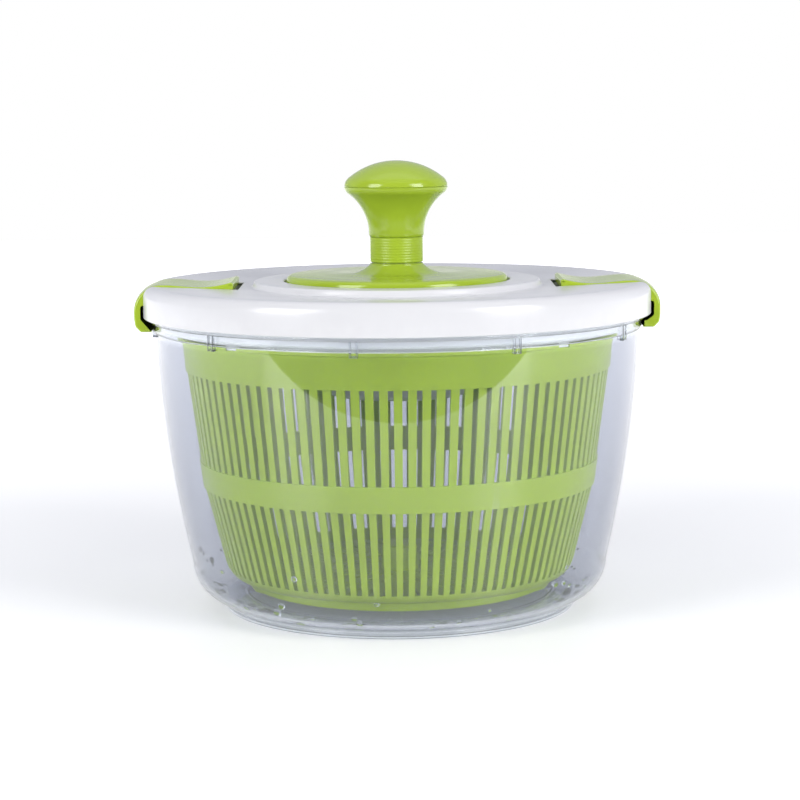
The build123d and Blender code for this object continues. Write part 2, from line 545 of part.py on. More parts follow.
def make_latch():
    """The right-hand rocker latch: raised tail, flat back, round shoulder and a hook under the rim."""
    under_z = LATCH_TOP_Z - 4.0
    toe_top = BOWL_TOP_Z - RIM_FLANGE_THICK - 0.4
    toe_low = 138.0
    edges = [
        Line((LATCH_TAIL_X + 0.3, 0, under_z + 0.8), (LATCH_TAIL_X, 0, LATCH_TAIL_Z - 0.6)),
        Line((LATCH_TAIL_X, 0, LATCH_TAIL_Z - 0.6), (LATCH_TAIL_X + 0.8, 0, LATCH_TAIL_Z)),
        ThreePointArc((LATCH_TAIL_X + 0.8, 0, LATCH_TAIL_Z), (88.0, 0, 160.0), (99.0, 0, LATCH_WAIST_Z)),
        Line((99.0, 0, LATCH_WAIST_Z), (112.0, 0, LATCH_TOP_Z)),
        Line((112.0, 0, LATCH_TOP_Z), (117.5, 0, LATCH_TOP_Z)),
        ThreePointArc((117.5, 0, LATCH_TOP_Z), (126.2, 0, 156.4), (130.0, 0, 147.0)),
        Line((130.0, 0, 147.0), (130.0, 0, 144.0)),
        ThreePointArc((130.0, 0, 144.0), (129.2, 0, 140.4), (126.6, 0, toe_low)),
        Line((126.6, 0, toe_low), (118.0, 0, toe_low)),
        Line((118.0, 0, toe_low), (118.0, 0, toe_top)),
        Line((118.0, 0, toe_top), (124.0, 0, toe_top)),
        Line((124.0, 0, toe_top), (124.0, 0, 150.8)),
        Line((124.0, 0, 150.8), (122.6, 0, 153.6)),
        Line((122.6, 0, 153.6), (119.5, 0, under_z)),
        Line((119.5, 0, under_z), (81.0, 0, under_z)),
        Line((81.0, 0, under_z), (LATCH_TAIL_X + 0.3, 0, under_z + 0.8))]
    body = extrude(Face(Wire(edges)), LATCH_WIDTH / 2, both=True, dir=(0, 1, 0))
    body = body & ring(0, LATCH_OUTER_R, toe_low - 5, LATCH_TAIL_Z + 5)
    hollow = turned((0, toe_top), (122.8, toe_top), (124.4, 143.4), (LATCH_INNER_R, 144.4),
                    (LATCH_INNER_R, 150.0), (0, 150.0))
    body = body - hollow - ring(0, LATCH_TOE_R, toe_low - 1, toe_top)
    boss = Pos(PIVOT_X, 0, PIVOT_Z) * Rot(90, 0, 0) * Cylinder(3.0, LATCH_WIDTH - 1.0)
    web = block((PIVOT_X - 3.0, PIVOT_X + 3.0), (-LATCH_WIDTH / 2 + 0.5, LATCH_WIDTH / 2 - 0.5),
                (PIVOT_Z, under_z + 1.0))
    bore = Pos(PIVOT_X, 0, PIVOT_Z) * Rot(90, 0, 0) * Cylinder(PIN_R + RUNNING_FIT, LATCH_WIDTH + 2)
    return body + boss + web - bore


def make_latch_pin():
    """The right-hand latch's pin, pressed into the pocket's side walls."""
    length = LATCH_WIDTH + 2 * (LATCH_SIDE_GAP + POCKET_WALL)
    return Pos(PIVOT_X, 0, PIVOT_Z) * Rot(90, 0, 0) * Cylinder(PIN_R, length)


# ---------------------------------------------------------------- all nodes

def solids_of(made):
    """The separate solids of a shape, or of a list of shapes."""
    shapes = made if isinstance(made, list) else [made]
    return [solid for shape in shapes for solid in shape.solids()]


def build_nodes():
    """Every node's shape by name."""
    latch = make_latch()
    pin = make_latch_pin()
    other_side = Rot(0, 0, 180)
    return {
        "bowl": make_bowl(), "foot_ring": make_foot_ring(),
        "basket": make_basket(), "basket_bush": make_basket_bush(),
        "lid_shell": make_lid_shell(), "lid_liner": make_lid_liner(), "liner_screws": make_liner_screws(),
        "drive_cover": make_drive_cover(), "guide_bush": make_guide_bush(),
        "mechanism_housing": make_mechanism_housing(), "housing_screws": make_housing_screws(),
        "rod_bearing": make_rod_bearing(),
        "latch_right": latch, "latch_left": other_side * latch,
        "latch_pin_right": pin, "latch_pin_left": other_side * pin,
        "knob_cap": make_knob_cap(), "knob_body": make_knob_body(), "stop_sleeve": make_stop_sleeve(),
        "plunger_tube": make_plunger_tube(), "drive_nut": make_drive_nut(),
        "return_spring": make_return_spring(), "spring_cap": make_spring_cap(),
        "spiral_rod": make_spiral_rod(), "clutch_hub": make_clutch_hub(),
        "clutch_pawls": make_clutch_pawls(), "rod_clip": make_rod_clip(),
        "plate_washer": make_plate_washer(), "ratchet_ring": make_ratchet_ring(),
        "drive_plate": make_drive_plate(), "clutch_cover": make_clutch_cover(),
        "cover_screws": make_cover_screws(),
    }


def main():
    """Write one STEP file for each node."""
    os.makedirs("parts", exist_ok=True)
    for name, made in build_nodes().items():
        solids = solids_of(made)
        export_step(solids[0] if len(solids) == 1 else Compound(solids), f"parts/{name}.step")
        print(name, len(solids), "solids,", round(sum(solid.volume for solid in solids)), "mm3")


if __name__ == "__main__":
    main()
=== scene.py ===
"""Looks for the press-knob salad spinner: smooth moulded surfaces and finishes built on the CAD frame.

Every sub-assembly is a class whose fields are its sizes in millimetres. Every finish is a frozen
dataclass that makes one material. The meshes are worked out as numpy arrays.
"""
import logging
import math
from dataclasses import dataclass, field
from enum import Enum
from typing import Optional, Sequence

import bpy
import numpy as np
from mathutils import Matrix, Vector


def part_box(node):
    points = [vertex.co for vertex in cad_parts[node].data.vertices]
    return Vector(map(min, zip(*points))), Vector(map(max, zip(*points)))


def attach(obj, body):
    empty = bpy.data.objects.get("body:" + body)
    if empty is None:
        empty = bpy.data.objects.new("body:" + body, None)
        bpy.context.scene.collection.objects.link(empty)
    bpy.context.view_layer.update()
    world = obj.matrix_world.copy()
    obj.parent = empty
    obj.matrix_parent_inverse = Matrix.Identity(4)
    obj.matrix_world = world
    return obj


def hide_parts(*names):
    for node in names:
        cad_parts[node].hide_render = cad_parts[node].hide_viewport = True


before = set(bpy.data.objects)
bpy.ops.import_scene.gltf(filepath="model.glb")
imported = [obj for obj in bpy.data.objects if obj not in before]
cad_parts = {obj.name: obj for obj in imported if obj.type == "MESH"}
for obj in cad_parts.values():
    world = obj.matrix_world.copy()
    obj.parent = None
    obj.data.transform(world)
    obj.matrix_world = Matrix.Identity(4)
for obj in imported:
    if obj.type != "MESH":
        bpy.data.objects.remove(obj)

MM = 0.001
ROUND_SEGMENTS = 256
SMOOTH_LIMIT_DEG = 28.0

RGB = tuple[float, float, float]
Row = tuple[float, float, float]
Array = np.ndarray

log = logging.getLogger("salad_spinner")


# ---------------------------------------------------------------- outlines

def corner_arc(before: Array, corner: Array, after: Array, radius: float, steps: int) -> Array:
    """Round one corner of an outline.

    The arc touches both sides at radius / tan(half the inside angle) from the corner, and its centre lies
    on the bisector at radius / sin(half the inside angle).

    Args:
        before: The outline's point before the corner.
        corner: The corner.
        after: The point after it.
        radius: The round's radius, made smaller where the sides are short.
        steps: How many points the arc gets.

    Returns:
        The arc's points, shape (steps, 2).
    """
    to_before, to_after = before - corner, after - corner
    lengths = np.linalg.norm(to_before), np.linalg.norm(to_after)
    to_before, to_after = to_before / lengths[0], to_after / lengths[1]
    half = 0.5 * math.acos(float(np.clip(to_before @ to_after, -1.0, 1.0)))
    cut = min(radius / math.tan(half), 0.49 * min(lengths))
    radius = cut * math.tan(half)
    bisector = (to_before + to_after) / np.linalg.norm(to_before + to_after)
    centre = corner + bisector * radius / math.sin(half)
    start, end = corner + to_before * cut - centre, corner + to_after * cut - centre
    first = math.atan2(start[1], start[0])
    turn = (math.atan2(end[1], end[0]) - first + math.pi) % (2 * math.pi) - math.pi
    angle = first + turn * np.linspace(0.0, 1.0, steps)
    return centre + radius * np.stack([np.cos(angle), np.sin(angle)], axis=1)


def outline(rows: Sequence[Row], closed: bool = True, steps: int = 6) -> Array:
    """Turn corners with radii into the points of an outline.

    Args:
        rows: Corners as (r, z, radius); a radius of 0 keeps the corner sharp.
        closed: Whether the last corner joins the first.
        steps: How many points each round gets.

    Returns:
        The outline's points, shape (n, 2).
    """
    corners = np.array([row[:2] for row in rows], float)
    runs = []
    for k, (r, z, radius) in enumerate(rows):
        at_end = not closed and k in (0, len(rows) - 1)
        if radius <= 0 or at_end:
            runs.append(corners[k:k + 1])
        else:
            following = corners[(k + 1) % len(rows)]
            runs.append(corner_arc(corners[k - 1], corners[k], following, radius, steps))
    return np.concatenate(runs)


def arc_rows(start: tuple[float, float], passed: tuple[float, float], end: tuple[float, float],
             steps: int = 16) -> list[Row]:
    """Sharp outline rows along the circular arc through three points.

    The centre is where the perpendicular bisectors of the two chords meet.

    Args:
        start: First point (r, z).
        passed: A point that the arc passes.
        end: Last point.
        steps: How many rows to give.

    Returns:
        The rows, from start to end.
    """
    a, b, c = (np.array(p, float) for p in (start, passed, end))
    sides = 2 * np.array([b - a, c - a])
    centre = np.linalg.solve(sides, np.array([b @ b - a @ a, c @ c - a @ a]))
    radius = np.linalg.norm(a - centre)
    angles = [math.atan2(*(p - centre)[::-1]) for p in (a, b, c)]
    turns = [(angle - angles[0]) % (2 * math.pi) for angle in angles]
    total = turns[2] if turns[1] <= turns[2] else turns[2] - 2 * math.pi
    angle = angles[0] + total * np.linspace(0.0, 1.0, steps)
    points = centre + radius * np.stack([np.cos(angle), np.sin(angle)], axis=1)
    return [(float(r), float(z), 0.0) for r, z in points]


# ---------------------------------------------------------------- surfaces

@dataclass
class Patch:
    """Points in millimetres and the faces on them, each array holding faces with the same corner count."""

    points: Array
    faces: list[Array]

    def moved(self, matrix: Array, shift: Sequence[float] = (0.0, 0.0, 0.0)) -> "Patch":
        """The patch with its points turned by a 3 x 3 matrix and then shifted."""
        return Patch(self.points @ np.asarray(matrix, float).T + np.asarray(shift, float), self.faces)


def turn_about_z(angle_deg: float) -> Array:
    """The 3 x 3 matrix that turns points about Z."""
    angle = math.radians(angle_deg)
    return np.array([[math.cos(angle), -math.sin(angle), 0.0], [math.sin(angle), math.cos(angle), 0.0],
                     [0.0, 0.0, 1.0]])


def revolved(profile: Array, segments: int = ROUND_SEGMENTS, closed: bool = True) -> Patch:
    """Turn a profile about Z: P(i, t) = (r_i cos t, r_i sin t, z_i).

    A profile that isn't closed runs from the axis to the axis, and each end becomes one point there.

    Args:
        profile: Points (r, z) in either direction.
        segments: Steps round the axis.
        closed: Whether the profile is a loop that stays off the axis.

    Returns:
        The closed surface with its faces outwards.
    """
    r, z = profile[:, 0], profile[:, 1]
    signed_area = float(np.sum(r * np.roll(z, -1) - np.roll(r, -1) * z))
    if signed_area < 0:
        profile = profile[::-1]
    rings = profile if closed else profile[1:-1]
    angle = np.linspace(0.0, 2 * math.pi, segments, endpoint=False)
    circle = np.stack([np.cos(angle), np.sin(angle)], axis=1)
    flat = rings[:, None, 0:1] * circle[None]
    height = np.repeat(rings[:, 1], segments).reshape(len(rings), segments, 1)
    points = np.concatenate([flat, height], axis=2).reshape(-1, 3)
    index = np.arange(len(rings) * segments).reshape(len(rings), segments)
    upper = np.roll(index, -1, axis=0) if closed else index[1:]
    lower = index if closed else index[:-1]
    quads = np.stack([lower, np.roll(lower, -1, axis=1), np.roll(upper, -1, axis=1), upper], axis=2)
    faces = [quads.reshape(-1, 4)]
    if not closed:
        poles = np.array([[0.0, 0.0, profile[0, 1]], [0.0, 0.0, profile[-1, 1]]])
        first, last = len(points), len(points) + 1
        points = np.concatenate([points, poles])
        begin, finish = index[0], index[-1]
        faces.append(np.stack([np.full(segments, first), np.roll(begin, -1), begin], axis=1))
        faces.append(np.stack([finish, np.roll(finish, -1), np.full(segments, last)], axis=1))
    return Patch(points, faces)


def pierced_shell(outer: Array, inner: Array, solid: Array) -> Patch:
    """A wall between two grids of points, left out where its cells aren't solid.

    Both grids close round in their second index. Each solid cell gets a face on both grids, and each edge
    between a solid cell and a missing one gets a face across the wall's thickness.

    Args:
        outer: Points whose faces look outwards, shape (rows + 1, columns, 3).
        inner: The matching points on the wall's other side.
        solid: Which cells exist, shape (rows, columns).

    Returns:
        The closed wall.
    """
    rows, columns = solid.shape
    index = np.arange((rows + 1) * columns).reshape(rows + 1, columns)
    back = index + index.size
    right = np.roll(index, -1, axis=1)
    back_right = np.roll(back, -1, axis=1)

    def picked(mask: Array, *corners: Array) -> Array:
        """The faces of the cells or edges that a mask picks."""
        return np.stack([corner[mask] for corner in corners], axis=1)

    above = np.concatenate([solid, np.zeros((1, columns), bool)])
    below = np.concatenate([np.zeros((1, columns), bool), solid])
    before = np.roll(solid, 1, axis=1)
    low, high, back_low, back_high = index[:-1], index[1:], back[:-1], back[1:]
    faces = [
        picked(solid, low, right[:-1], right[1:], high),
        picked(solid, back_low, back_high, back_right[1:], back_right[:-1]),
        picked(above & ~below, index, back, back_right, right),
        picked(below & ~above, index, right, back_right, back),
        picked(solid & ~before, low, high, back_high, back_low),
        picked(before & ~solid, low, back_low, back_high, high),
    ]
    points = np.concatenate([outer.reshape(-1, 3), inner.reshape(-1, 3)])
    used, renumbered = np.unique(np.concatenate([face.ravel() for face in faces]), return_inverse=True)
    sizes = np.cumsum([face.size for face in faces])[:-1]
    return Patch(points[used], [part.reshape(-1, 4) for part in np.split(renumbered, sizes)])


def swept_block(profile: Array, stations: Array, insets: Array) -> Patch:
    """Carry a closed (x, z) profile along Y, drawing it in at each station: P = p - n * inset.

    Args:
        profile: The profile's points, anticlockwise seen along -Y with x to the right.
        stations: The Y values.
        insets: How far the profile is drawn in along its own normals at each station.

    Returns:
        The closed block, with one face over each end.
    """
    along = np.roll(profile, -1, axis=0) - np.roll(profile, 1, axis=0)
    normal = np.stack([along[:, 1], -along[:, 0]], axis=1) / np.linalg.norm(along, axis=1)[:, None]
    section = profile[None] - insets[:, None, None] * normal[None]
    depth = np.broadcast_to(stations[:, None], section.shape[:2])
    points = np.stack([section[..., 0], depth, section[..., 1]], axis=2)
    count, size = section.shape[:2]
    index = np.arange(count * size).reshape(count, size)
    after = np.roll(index, -1, axis=1)
    quads = np.stack([index[:-1], index[1:], after[1:], after[:-1]], axis=2).reshape(-1, 4)
    return Patch(points.reshape(-1, 3), [quads, index[:1], index[-1:, ::-1]])


def plain_block(low: Sequence[float], high: Sequence[float]) -> Patch:
    """A closed box between two corners."""
    grid = np.array([[x, y, z] for z in (0, 1) for y in (0, 1) for x in (0, 1)], float)
    points = np.asarray(low, float) + grid * (np.asarray(high, float) - np.asarray(low, float))
    quads = np.array([[0, 2, 3, 1], [4, 5, 7, 6], [0, 1, 5, 4], [2, 6, 7, 3], [0, 4, 6, 2], [1, 3, 7, 5]])
    return Patch(points, [quads])


def end_rounding(half_width: float, round_r: float, middle: int, steps: int = 6) -> tuple[Array, Array]:
    """Stations across a width and the insets that round its two edges.

    With s running from 0 to 1 over the last round_r, the inset is round_r * (1 - sqrt(1 - s * s)).

    Args:
        half_width: Half of the whole width.
        round_r: The edges' radius.
        middle: How many stations lie between the rounds.
        steps: How many stations each round gets.

    Returns:
        The stations and the insets.
    """
    share = np.sin(np.linspace(0.0, math.pi / 2, steps))
    edge = half_width - round_r + round_r * share
    inner = np.linspace(-(half_width - round_r), half_width - round_r, middle + 2)[1:-1]
    stations = np.concatenate([-edge[::-1], inner, edge])
    inset = round_r * (1 - np.sqrt(np.clip(1 - share ** 2, 0.0, 1.0)))
    return stations, np.concatenate([inset[::-1], np.zeros(middle), inset])


def make_piece(name: str, patches: Sequence[Patch], limit_deg: float = SMOOTH_LIMIT_DEG) -> bpy.types.Object:
    """Put patches into one mesh object, smooth but for edges sharper than a limit.

    Args:
        name: The piece's name.
        patches: What the mesh is made of.
        limit_deg: Faces that meet at more than this stay sharp.

    Returns:
        The object, with its place in its mesh.
    """
    starts = np.cumsum([0] + [len(patch.points) for patch in patches])
    faces = [face + start for patch, start in zip(patches, starts) for face in patch.faces if len(face)]
    points = np.concatenate([patch.points for patch in patches]) * MM
    corners = np.concatenate([face.ravel() for face in faces]).astype(np.int32)
    sizes = np.concatenate([np.full(len(face), face.shape[1]) for face in faces])
    mesh = bpy.data.meshes.new(name)
    mesh.vertices.add(len(points))
    mesh.vertices.foreach_set("co", points.astype(np.float32).ravel())
    mesh.loops.add(len(corners))
    mesh.loops.foreach_set("vertex_index", corners)
    mesh.polygons.add(len(sizes))
    mesh.polygons.foreach_set("loop_start", (np.cumsum(sizes) - sizes).astype(np.int32))
    mesh.polygons.foreach_set("use_smooth", np.ones(len(sizes), bool))
    mesh.update(calc_edges=True)
    mesh.validate()
    mesh.set_sharp_from_angle(angle=math.radians(limit_deg))
    piece = bpy.data.objects.new(name, mesh)
    bpy.context.scene.collection.objects.link(piece)
    return piece


def soften_edges(piece: bpy.types.Object, width: float, segments: int = 2, limit_deg: float = 40.0) -> None:
    """Round a piece's sharp edges with a bevel.

    Args:
        piece: The object.
        width: The bevel's width in millimetres.
        segments: Its steps.
        limit_deg: Edges sharper than this are rounded.
    """
    bevel = piece.modifiers.new("edges", "BEVEL")
    bevel.width = width * MM
    bevel.segments = segments
    bevel.limit_method = "ANGLE"
    bevel.angle_limit = math.radians(limit_deg)
    bevel.use_clamp_overlap = True
    bevel.harden_normals = True


def box_mm(node: str) -> tuple[Vector, Vector]:
    """A CAD node's lowest and highest corners in millimetres."""
    low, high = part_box(node)
    return low / MM, high / MM


def fit(piece: bpy.types.Object, body: str, finish: "Finish", slot: str, *nodes: str) -> None:
    """Dress a finished piece, hang it on its body and hide the CAD nodes that it stands for.

    Args:
        piece: The object.
        body: The CAD body it rides on.
        finish: Its finish.
        slot: The record's material slot; not used.
        nodes: The CAD nodes that it stands for.
    """
    piece.data.materials.clear()
    piece.data.materials.append(finish.material())
    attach(piece, body)
    if nodes:
        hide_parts(*nodes)
    log.info("%s: %d faces on %s, %s", piece.name, len(piece.data.polygons), body, finish.name)


# ---------------------------------------------------------------- shader building

class Graph:
    """A node tree with short ways to add and join nodes."""

    def __init__(self, tree: bpy.types.NodeTree) -> None:
        """Work on a tree."""
        self.tree = tree

    def add(self, kind: str, **settings: object) -> bpy.types.Node:
        """Add a node of a kind and set its properties."""
        node = self.tree.nodes.new(kind)
        for name, value in settings.items():
            setattr(node, name, value)
        return node

    def join(self, source: object, target: object) -> None:
        """Link two sockets, or set the target socket where the source is a plain value."""
        if isinstance(source, bpy.types.NodeSocket):
            self.tree.links.new(source, target)
        else:
            target.default_value = source

    def math(self, operation: str, first: object, second: object = 0.0) -> bpy.types.NodeSocket:
        """The result of a maths node on two sockets or numbers."""
        node = self.add("ShaderNodeMath", operation=operation)
        self.join(first, node.inputs[0])
        self.join(second, node.inputs[1])
        return node.outputs[0]

    def spread(self, value: object, low: float, high: float, to_low: float,
               to_high: float) -> bpy.types.NodeSocket:
        """A value mapped from one range to another and kept inside it."""
        node = self.add("ShaderNodeMapRange")
        for socket, given in zip(node.inputs, (value, low, high, to_low, to_high)):
            self.join(given, socket)
        return node.outputs[0]

    def blend(self, factor: object, first: object, second: object) -> bpy.types.NodeSocket:
        """Two colours mixed by a factor."""
        node = self.add("ShaderNodeMix", data_type="RGBA")
        for socket, given in ((node.inputs[0], factor), (node.inputs[6], first), (node.inputs[7], second)):
            self.join(given, socket)
        return node.outputs[2]

    def noise(self, vector: object, scale: object, detail: float = 3.0) -> bpy.types.NodeSocket:
        """A noise value at a scale."""
        node = self.add("ShaderNodeTexNoise")
        self.join(vector, node.inputs["Vector"])
        self.join(scale, node.inputs["Scale"])
        node.inputs["Detail"].default_value = detail
        return node.outputs["Fac"]

    def stretched(self, vector: object, scale: Sequence[float],
                  turn_deg: Sequence[float] = (0, 0, 0)) -> object:
        """A vector turned and stretched, for a pattern with a direction."""
        node = self.add("ShaderNodeMapping")
        self.join(vector, node.inputs["Vector"])
        node.inputs["Scale"].default_value = scale
        node.inputs["Rotation"].default_value = [math.radians(angle) for angle in turn_deg]
        return node.outputs[0]


class Effect(Enum):
    """The surface effects that several finishes share."""

    MOULDED_SKIN = "moulded_skin"
    HAIR_SCRATCHES = "hair_scratches"
    RUBBED_EDGES = "rubbed_edges"


def new_group(name: str, inputs: Sequence[tuple[str, str, float]],
              outputs: Sequence[str]) -> tuple[Graph, dict, dict]:
    """Start a shader node group.

    Args:
        name: The group's name.
        inputs: Each input's name, socket kind and default.
        outputs: The names of its values.

    Returns:
        The group's graph, its inputs by name and its outputs by name.
    """
    tree = bpy.data.node_groups.new(name, "ShaderNodeTree")
    for label, kind, default in inputs:
        socket = tree.interface.new_socket(name=label, in_out="INPUT", socket_type=kind)
        if kind == "NodeSocketFloat":
            socket.default_value = default
    for label in outputs:
        tree.interface.new_socket(name=label, in_out="OUTPUT", socket_type="NodeSocketFloat")
    graph = Graph(tree)
    entry, leave = graph.add("NodeGroupInput"), graph.add("NodeGroupOutput")
    return graph, {s.name: s for s in entry.outputs if s.name}, {s.name: s for s in leave.inputs if s.name}


def build_moulded_skin() -> bpy.types.NodeTree:
    """Moulded plastic's skin: a fine grain, a slow orange-peel swell, smudges and drifting tone.

    Height adds a fine noise at Grain to a quarter as fine swell. Smudge and Tone are slow noises.
    """
    graph, given, made = new_group(
        Effect.MOULDED_SKIN.value,
        [("Vector", "NodeSocketVector", 0.0), ("Grain", "NodeSocketFloat", 900.0)],
        ["Height", "Smudge", "Tone"])
    vector, grain = given["Vector"], given["Grain"]
    fine = graph.noise(vector, grain, 2.0)
    swell = graph.noise(vector, graph.math("MULTIPLY", grain, 0.22), 1.0)
    graph.join(graph.math("ADD", graph.math("MULTIPLY", fine, 0.45), swell), made["Height"])
    graph.join(graph.spread(graph.noise(vector, 26.0, 4.0), 0.38, 0.68, 0.0, 1.0), made["Smudge"])
    graph.join(graph.noise(vector, 9.0, 2.0), made["Tone"])
    return graph.tree


def build_hair_scratches() -> bpy.types.NodeTree:
    """Hair-fine wiping scratches: two noises stretched sixty times along crossing directions.

    Each noise is cut to a narrow band about its middle, so that only thin lines stay, and a slow noise
    breaks the lines up. Mask is 1 in a scratch.
    """
    graph, given, made = new_group(
        Effect.HAIR_SCRATCHES.value,
        [("Vector", "NodeSocketVector", 0.0), ("Amount", "NodeSocketFloat", 0.5)], ["Mask"])
    lines = []
    for turn in ((12.0, 25.0, 31.0), (-24.0, 8.0, -52.0)):
        vector = graph.stretched(given["Vector"], (1.0, 60.0, 60.0), turn)
        off_middle = graph.math("ABSOLUTE", graph.math("SUBTRACT", graph.noise(vector, 22.0, 2.0), 0.5))
        lines.append(graph.spread(off_middle, 0.0, 0.012, 1.0, 0.0))
    patchy = graph.spread(graph.noise(given["Vector"], 38.0, 2.0), 0.5, 0.66, 0.0, 1.0)
    both = graph.math("MAXIMUM", *lines)
    graph.join(graph.math("MULTIPLY", graph.math("MULTIPLY", both, patchy), given["Amount"]), made["Mask"])
    return graph.tree


def build_rubbed_edges() -> bpy.types.NodeTree:
    """Edges rubbed paler by handling: where the surface is convex, broken up by noise."""
    graph, given, made = new_group(
        Effect.RUBBED_EDGES.value,
        [("Vector", "NodeSocketVector", 0.0), ("Amount", "NodeSocketFloat", 0.5)], ["Mask"])
    convex = graph.spread(graph.add("ShaderNodeNewGeometry").outputs["Pointiness"], 0.53, 0.62, 0.0, 1.0)
    broken = graph.spread(graph.noise(given["Vector"], 180.0, 4.0), 0.35, 0.65, 0.2, 1.0)
    graph.join(graph.math("MULTIPLY", graph.math("MULTIPLY", convex, broken), given["Amount"]), made["Mask"])
    return graph.tree


BUILDERS = {
    Effect.MOULDED_SKIN: build_moulded_skin,
    Effect.HAIR_SCRATCHES: build_hair_scratches,
    Effect.RUBBED_EDGES: build_rubbed_edges,
}


def effect_tree(effect: Effect) -> bpy.types.NodeTree:
    """An effect's node group, built the first time it is asked for."""
    return bpy.data.node_groups.get(effect.value) or BUILDERS[effect]()


@dataclass(frozen=True)
class Finish:
    """What every finish has: a name and one material.

    Attributes:
        name: The material's name.
        color: Linear base colour.
        roughness: Roughness of a clean patch.
        grain: Grains per metre in the moulded skin.
        bump_mm: Height of the skin's grain.
        scratches: How visible wiping scratches are, 0 to 1.
    """

    name: str
    color: RGB
    roughness: float
    grain: float = 900.0
    bump_mm: float = 0.01
    scratches: float = 0.3

    def material(self) -> bpy.types.Material:
        """The finish's material, made on first use."""
        known = bpy.data.materials.get(self.name)
        if known is not None:
            return known
        material = bpy.data.materials.new(self.name)
        material.use_nodes = True
        graph = Graph(material.node_tree)
        shader = material.node_tree.nodes["Principled BSDF"]
        self.dress(graph, shader, graph.add("ShaderNodeTexCoord").outputs["Object"])
        return material

    def effect(self, graph: Graph, effect: Effect, vector: object, **values: float) -> bpy.types.Node:
        """Place a shared effect in the material."""
        node = graph.add("ShaderNodeGroup", node_tree=effect_tree(effect))
        graph.join(vector, node.inputs["Vector"])
        for label, value in values.items():
            node.inputs[label].default_value = value
        return node

    def bump(self, graph: Graph, height: object, height_mm: float) -> bpy.types.NodeSocket:
        """The normal of a surface with a height pattern of a real depth."""
        node = graph.add("ShaderNodeBump")
        node.inputs["Strength"].default_value = 1.0
        node.inputs["Distance"].default_value = height_mm * MM
        graph.join(height, node.inputs["Height"])
        return node.outputs[0]

    def dress(self, graph: Graph, shader: bpy.types.Node, place: object) -> None:
        """Join the finish's pattern to the shader."""
        raise NotImplementedError


@dataclass(frozen=True)
class MouldedPlastic(Finish):
    """Opaque moulded plastic.

    Attributes:
        edge_wear: How far edges are rubbed paler.
        tone: How far the colour drifts from place to place.
        subsurface: How much light the plastic lets through its skin.
    """

    edge_wear: float = 0.3
    tone: float = 0.06
    subsurface: float = 0.0

    def dress(self, graph: Graph, shader: bpy.types.Node, place: object) -> None:
        """Tone drifts the colour, edges are paler, and smudges and scratches change the roughness."""
        skin = self.effect(graph, Effect.MOULDED_SKIN, place, Grain=self.grain)
        marks = self.effect(graph, Effect.HAIR_SCRATCHES, place, Amount=self.scratches)
        edges = self.effect(graph, Effect.RUBBED_EDGES, place, Amount=self.edge_wear)
        deep = (*(channel * (1 - self.tone) for channel in self.color), 1.0)
        light = (*(min(1.0, channel * (1 + self.tone)) for channel in self.color), 1.0)
        pale = (*(channel + (1 - channel) * 0.35 for channel in self.color), 1.0)
        drift = graph.spread(skin.outputs["Tone"], 0.35, 0.65, 0.0, 1.0)
        toned = graph.blend(drift, deep, light)
        graph.join(graph.blend(edges.outputs["Mask"], toned, pale), shader.inputs["Base Color"])
        smudged = graph.spread(skin.outputs["Smudge"], 0.0, 1.0, self.roughness, self.roughness * 1.15 + 0.01)
        scratched = graph.math("ADD", smudged, graph.math("MULTIPLY", marks.outputs["Mask"], 0.14))
        graph.join(scratched, shader.inputs["Roughness"])
        scratch_depth = graph.math("MULTIPLY", marks.outputs["Mask"], -0.35)
        height = graph.math("ADD", skin.outputs["Height"], scratch_depth)
        graph.join(self.bump(graph, height, self.bump_mm), shader.inputs["Normal"])
        shader.inputs["Subsurface Weight"].default_value = self.subsurface
        shader.inputs["Subsurface Radius"].default_value = (1.0, 0.9, 0.4)
        shader.inputs["Subsurface Scale"].default_value = 2.0 * MM


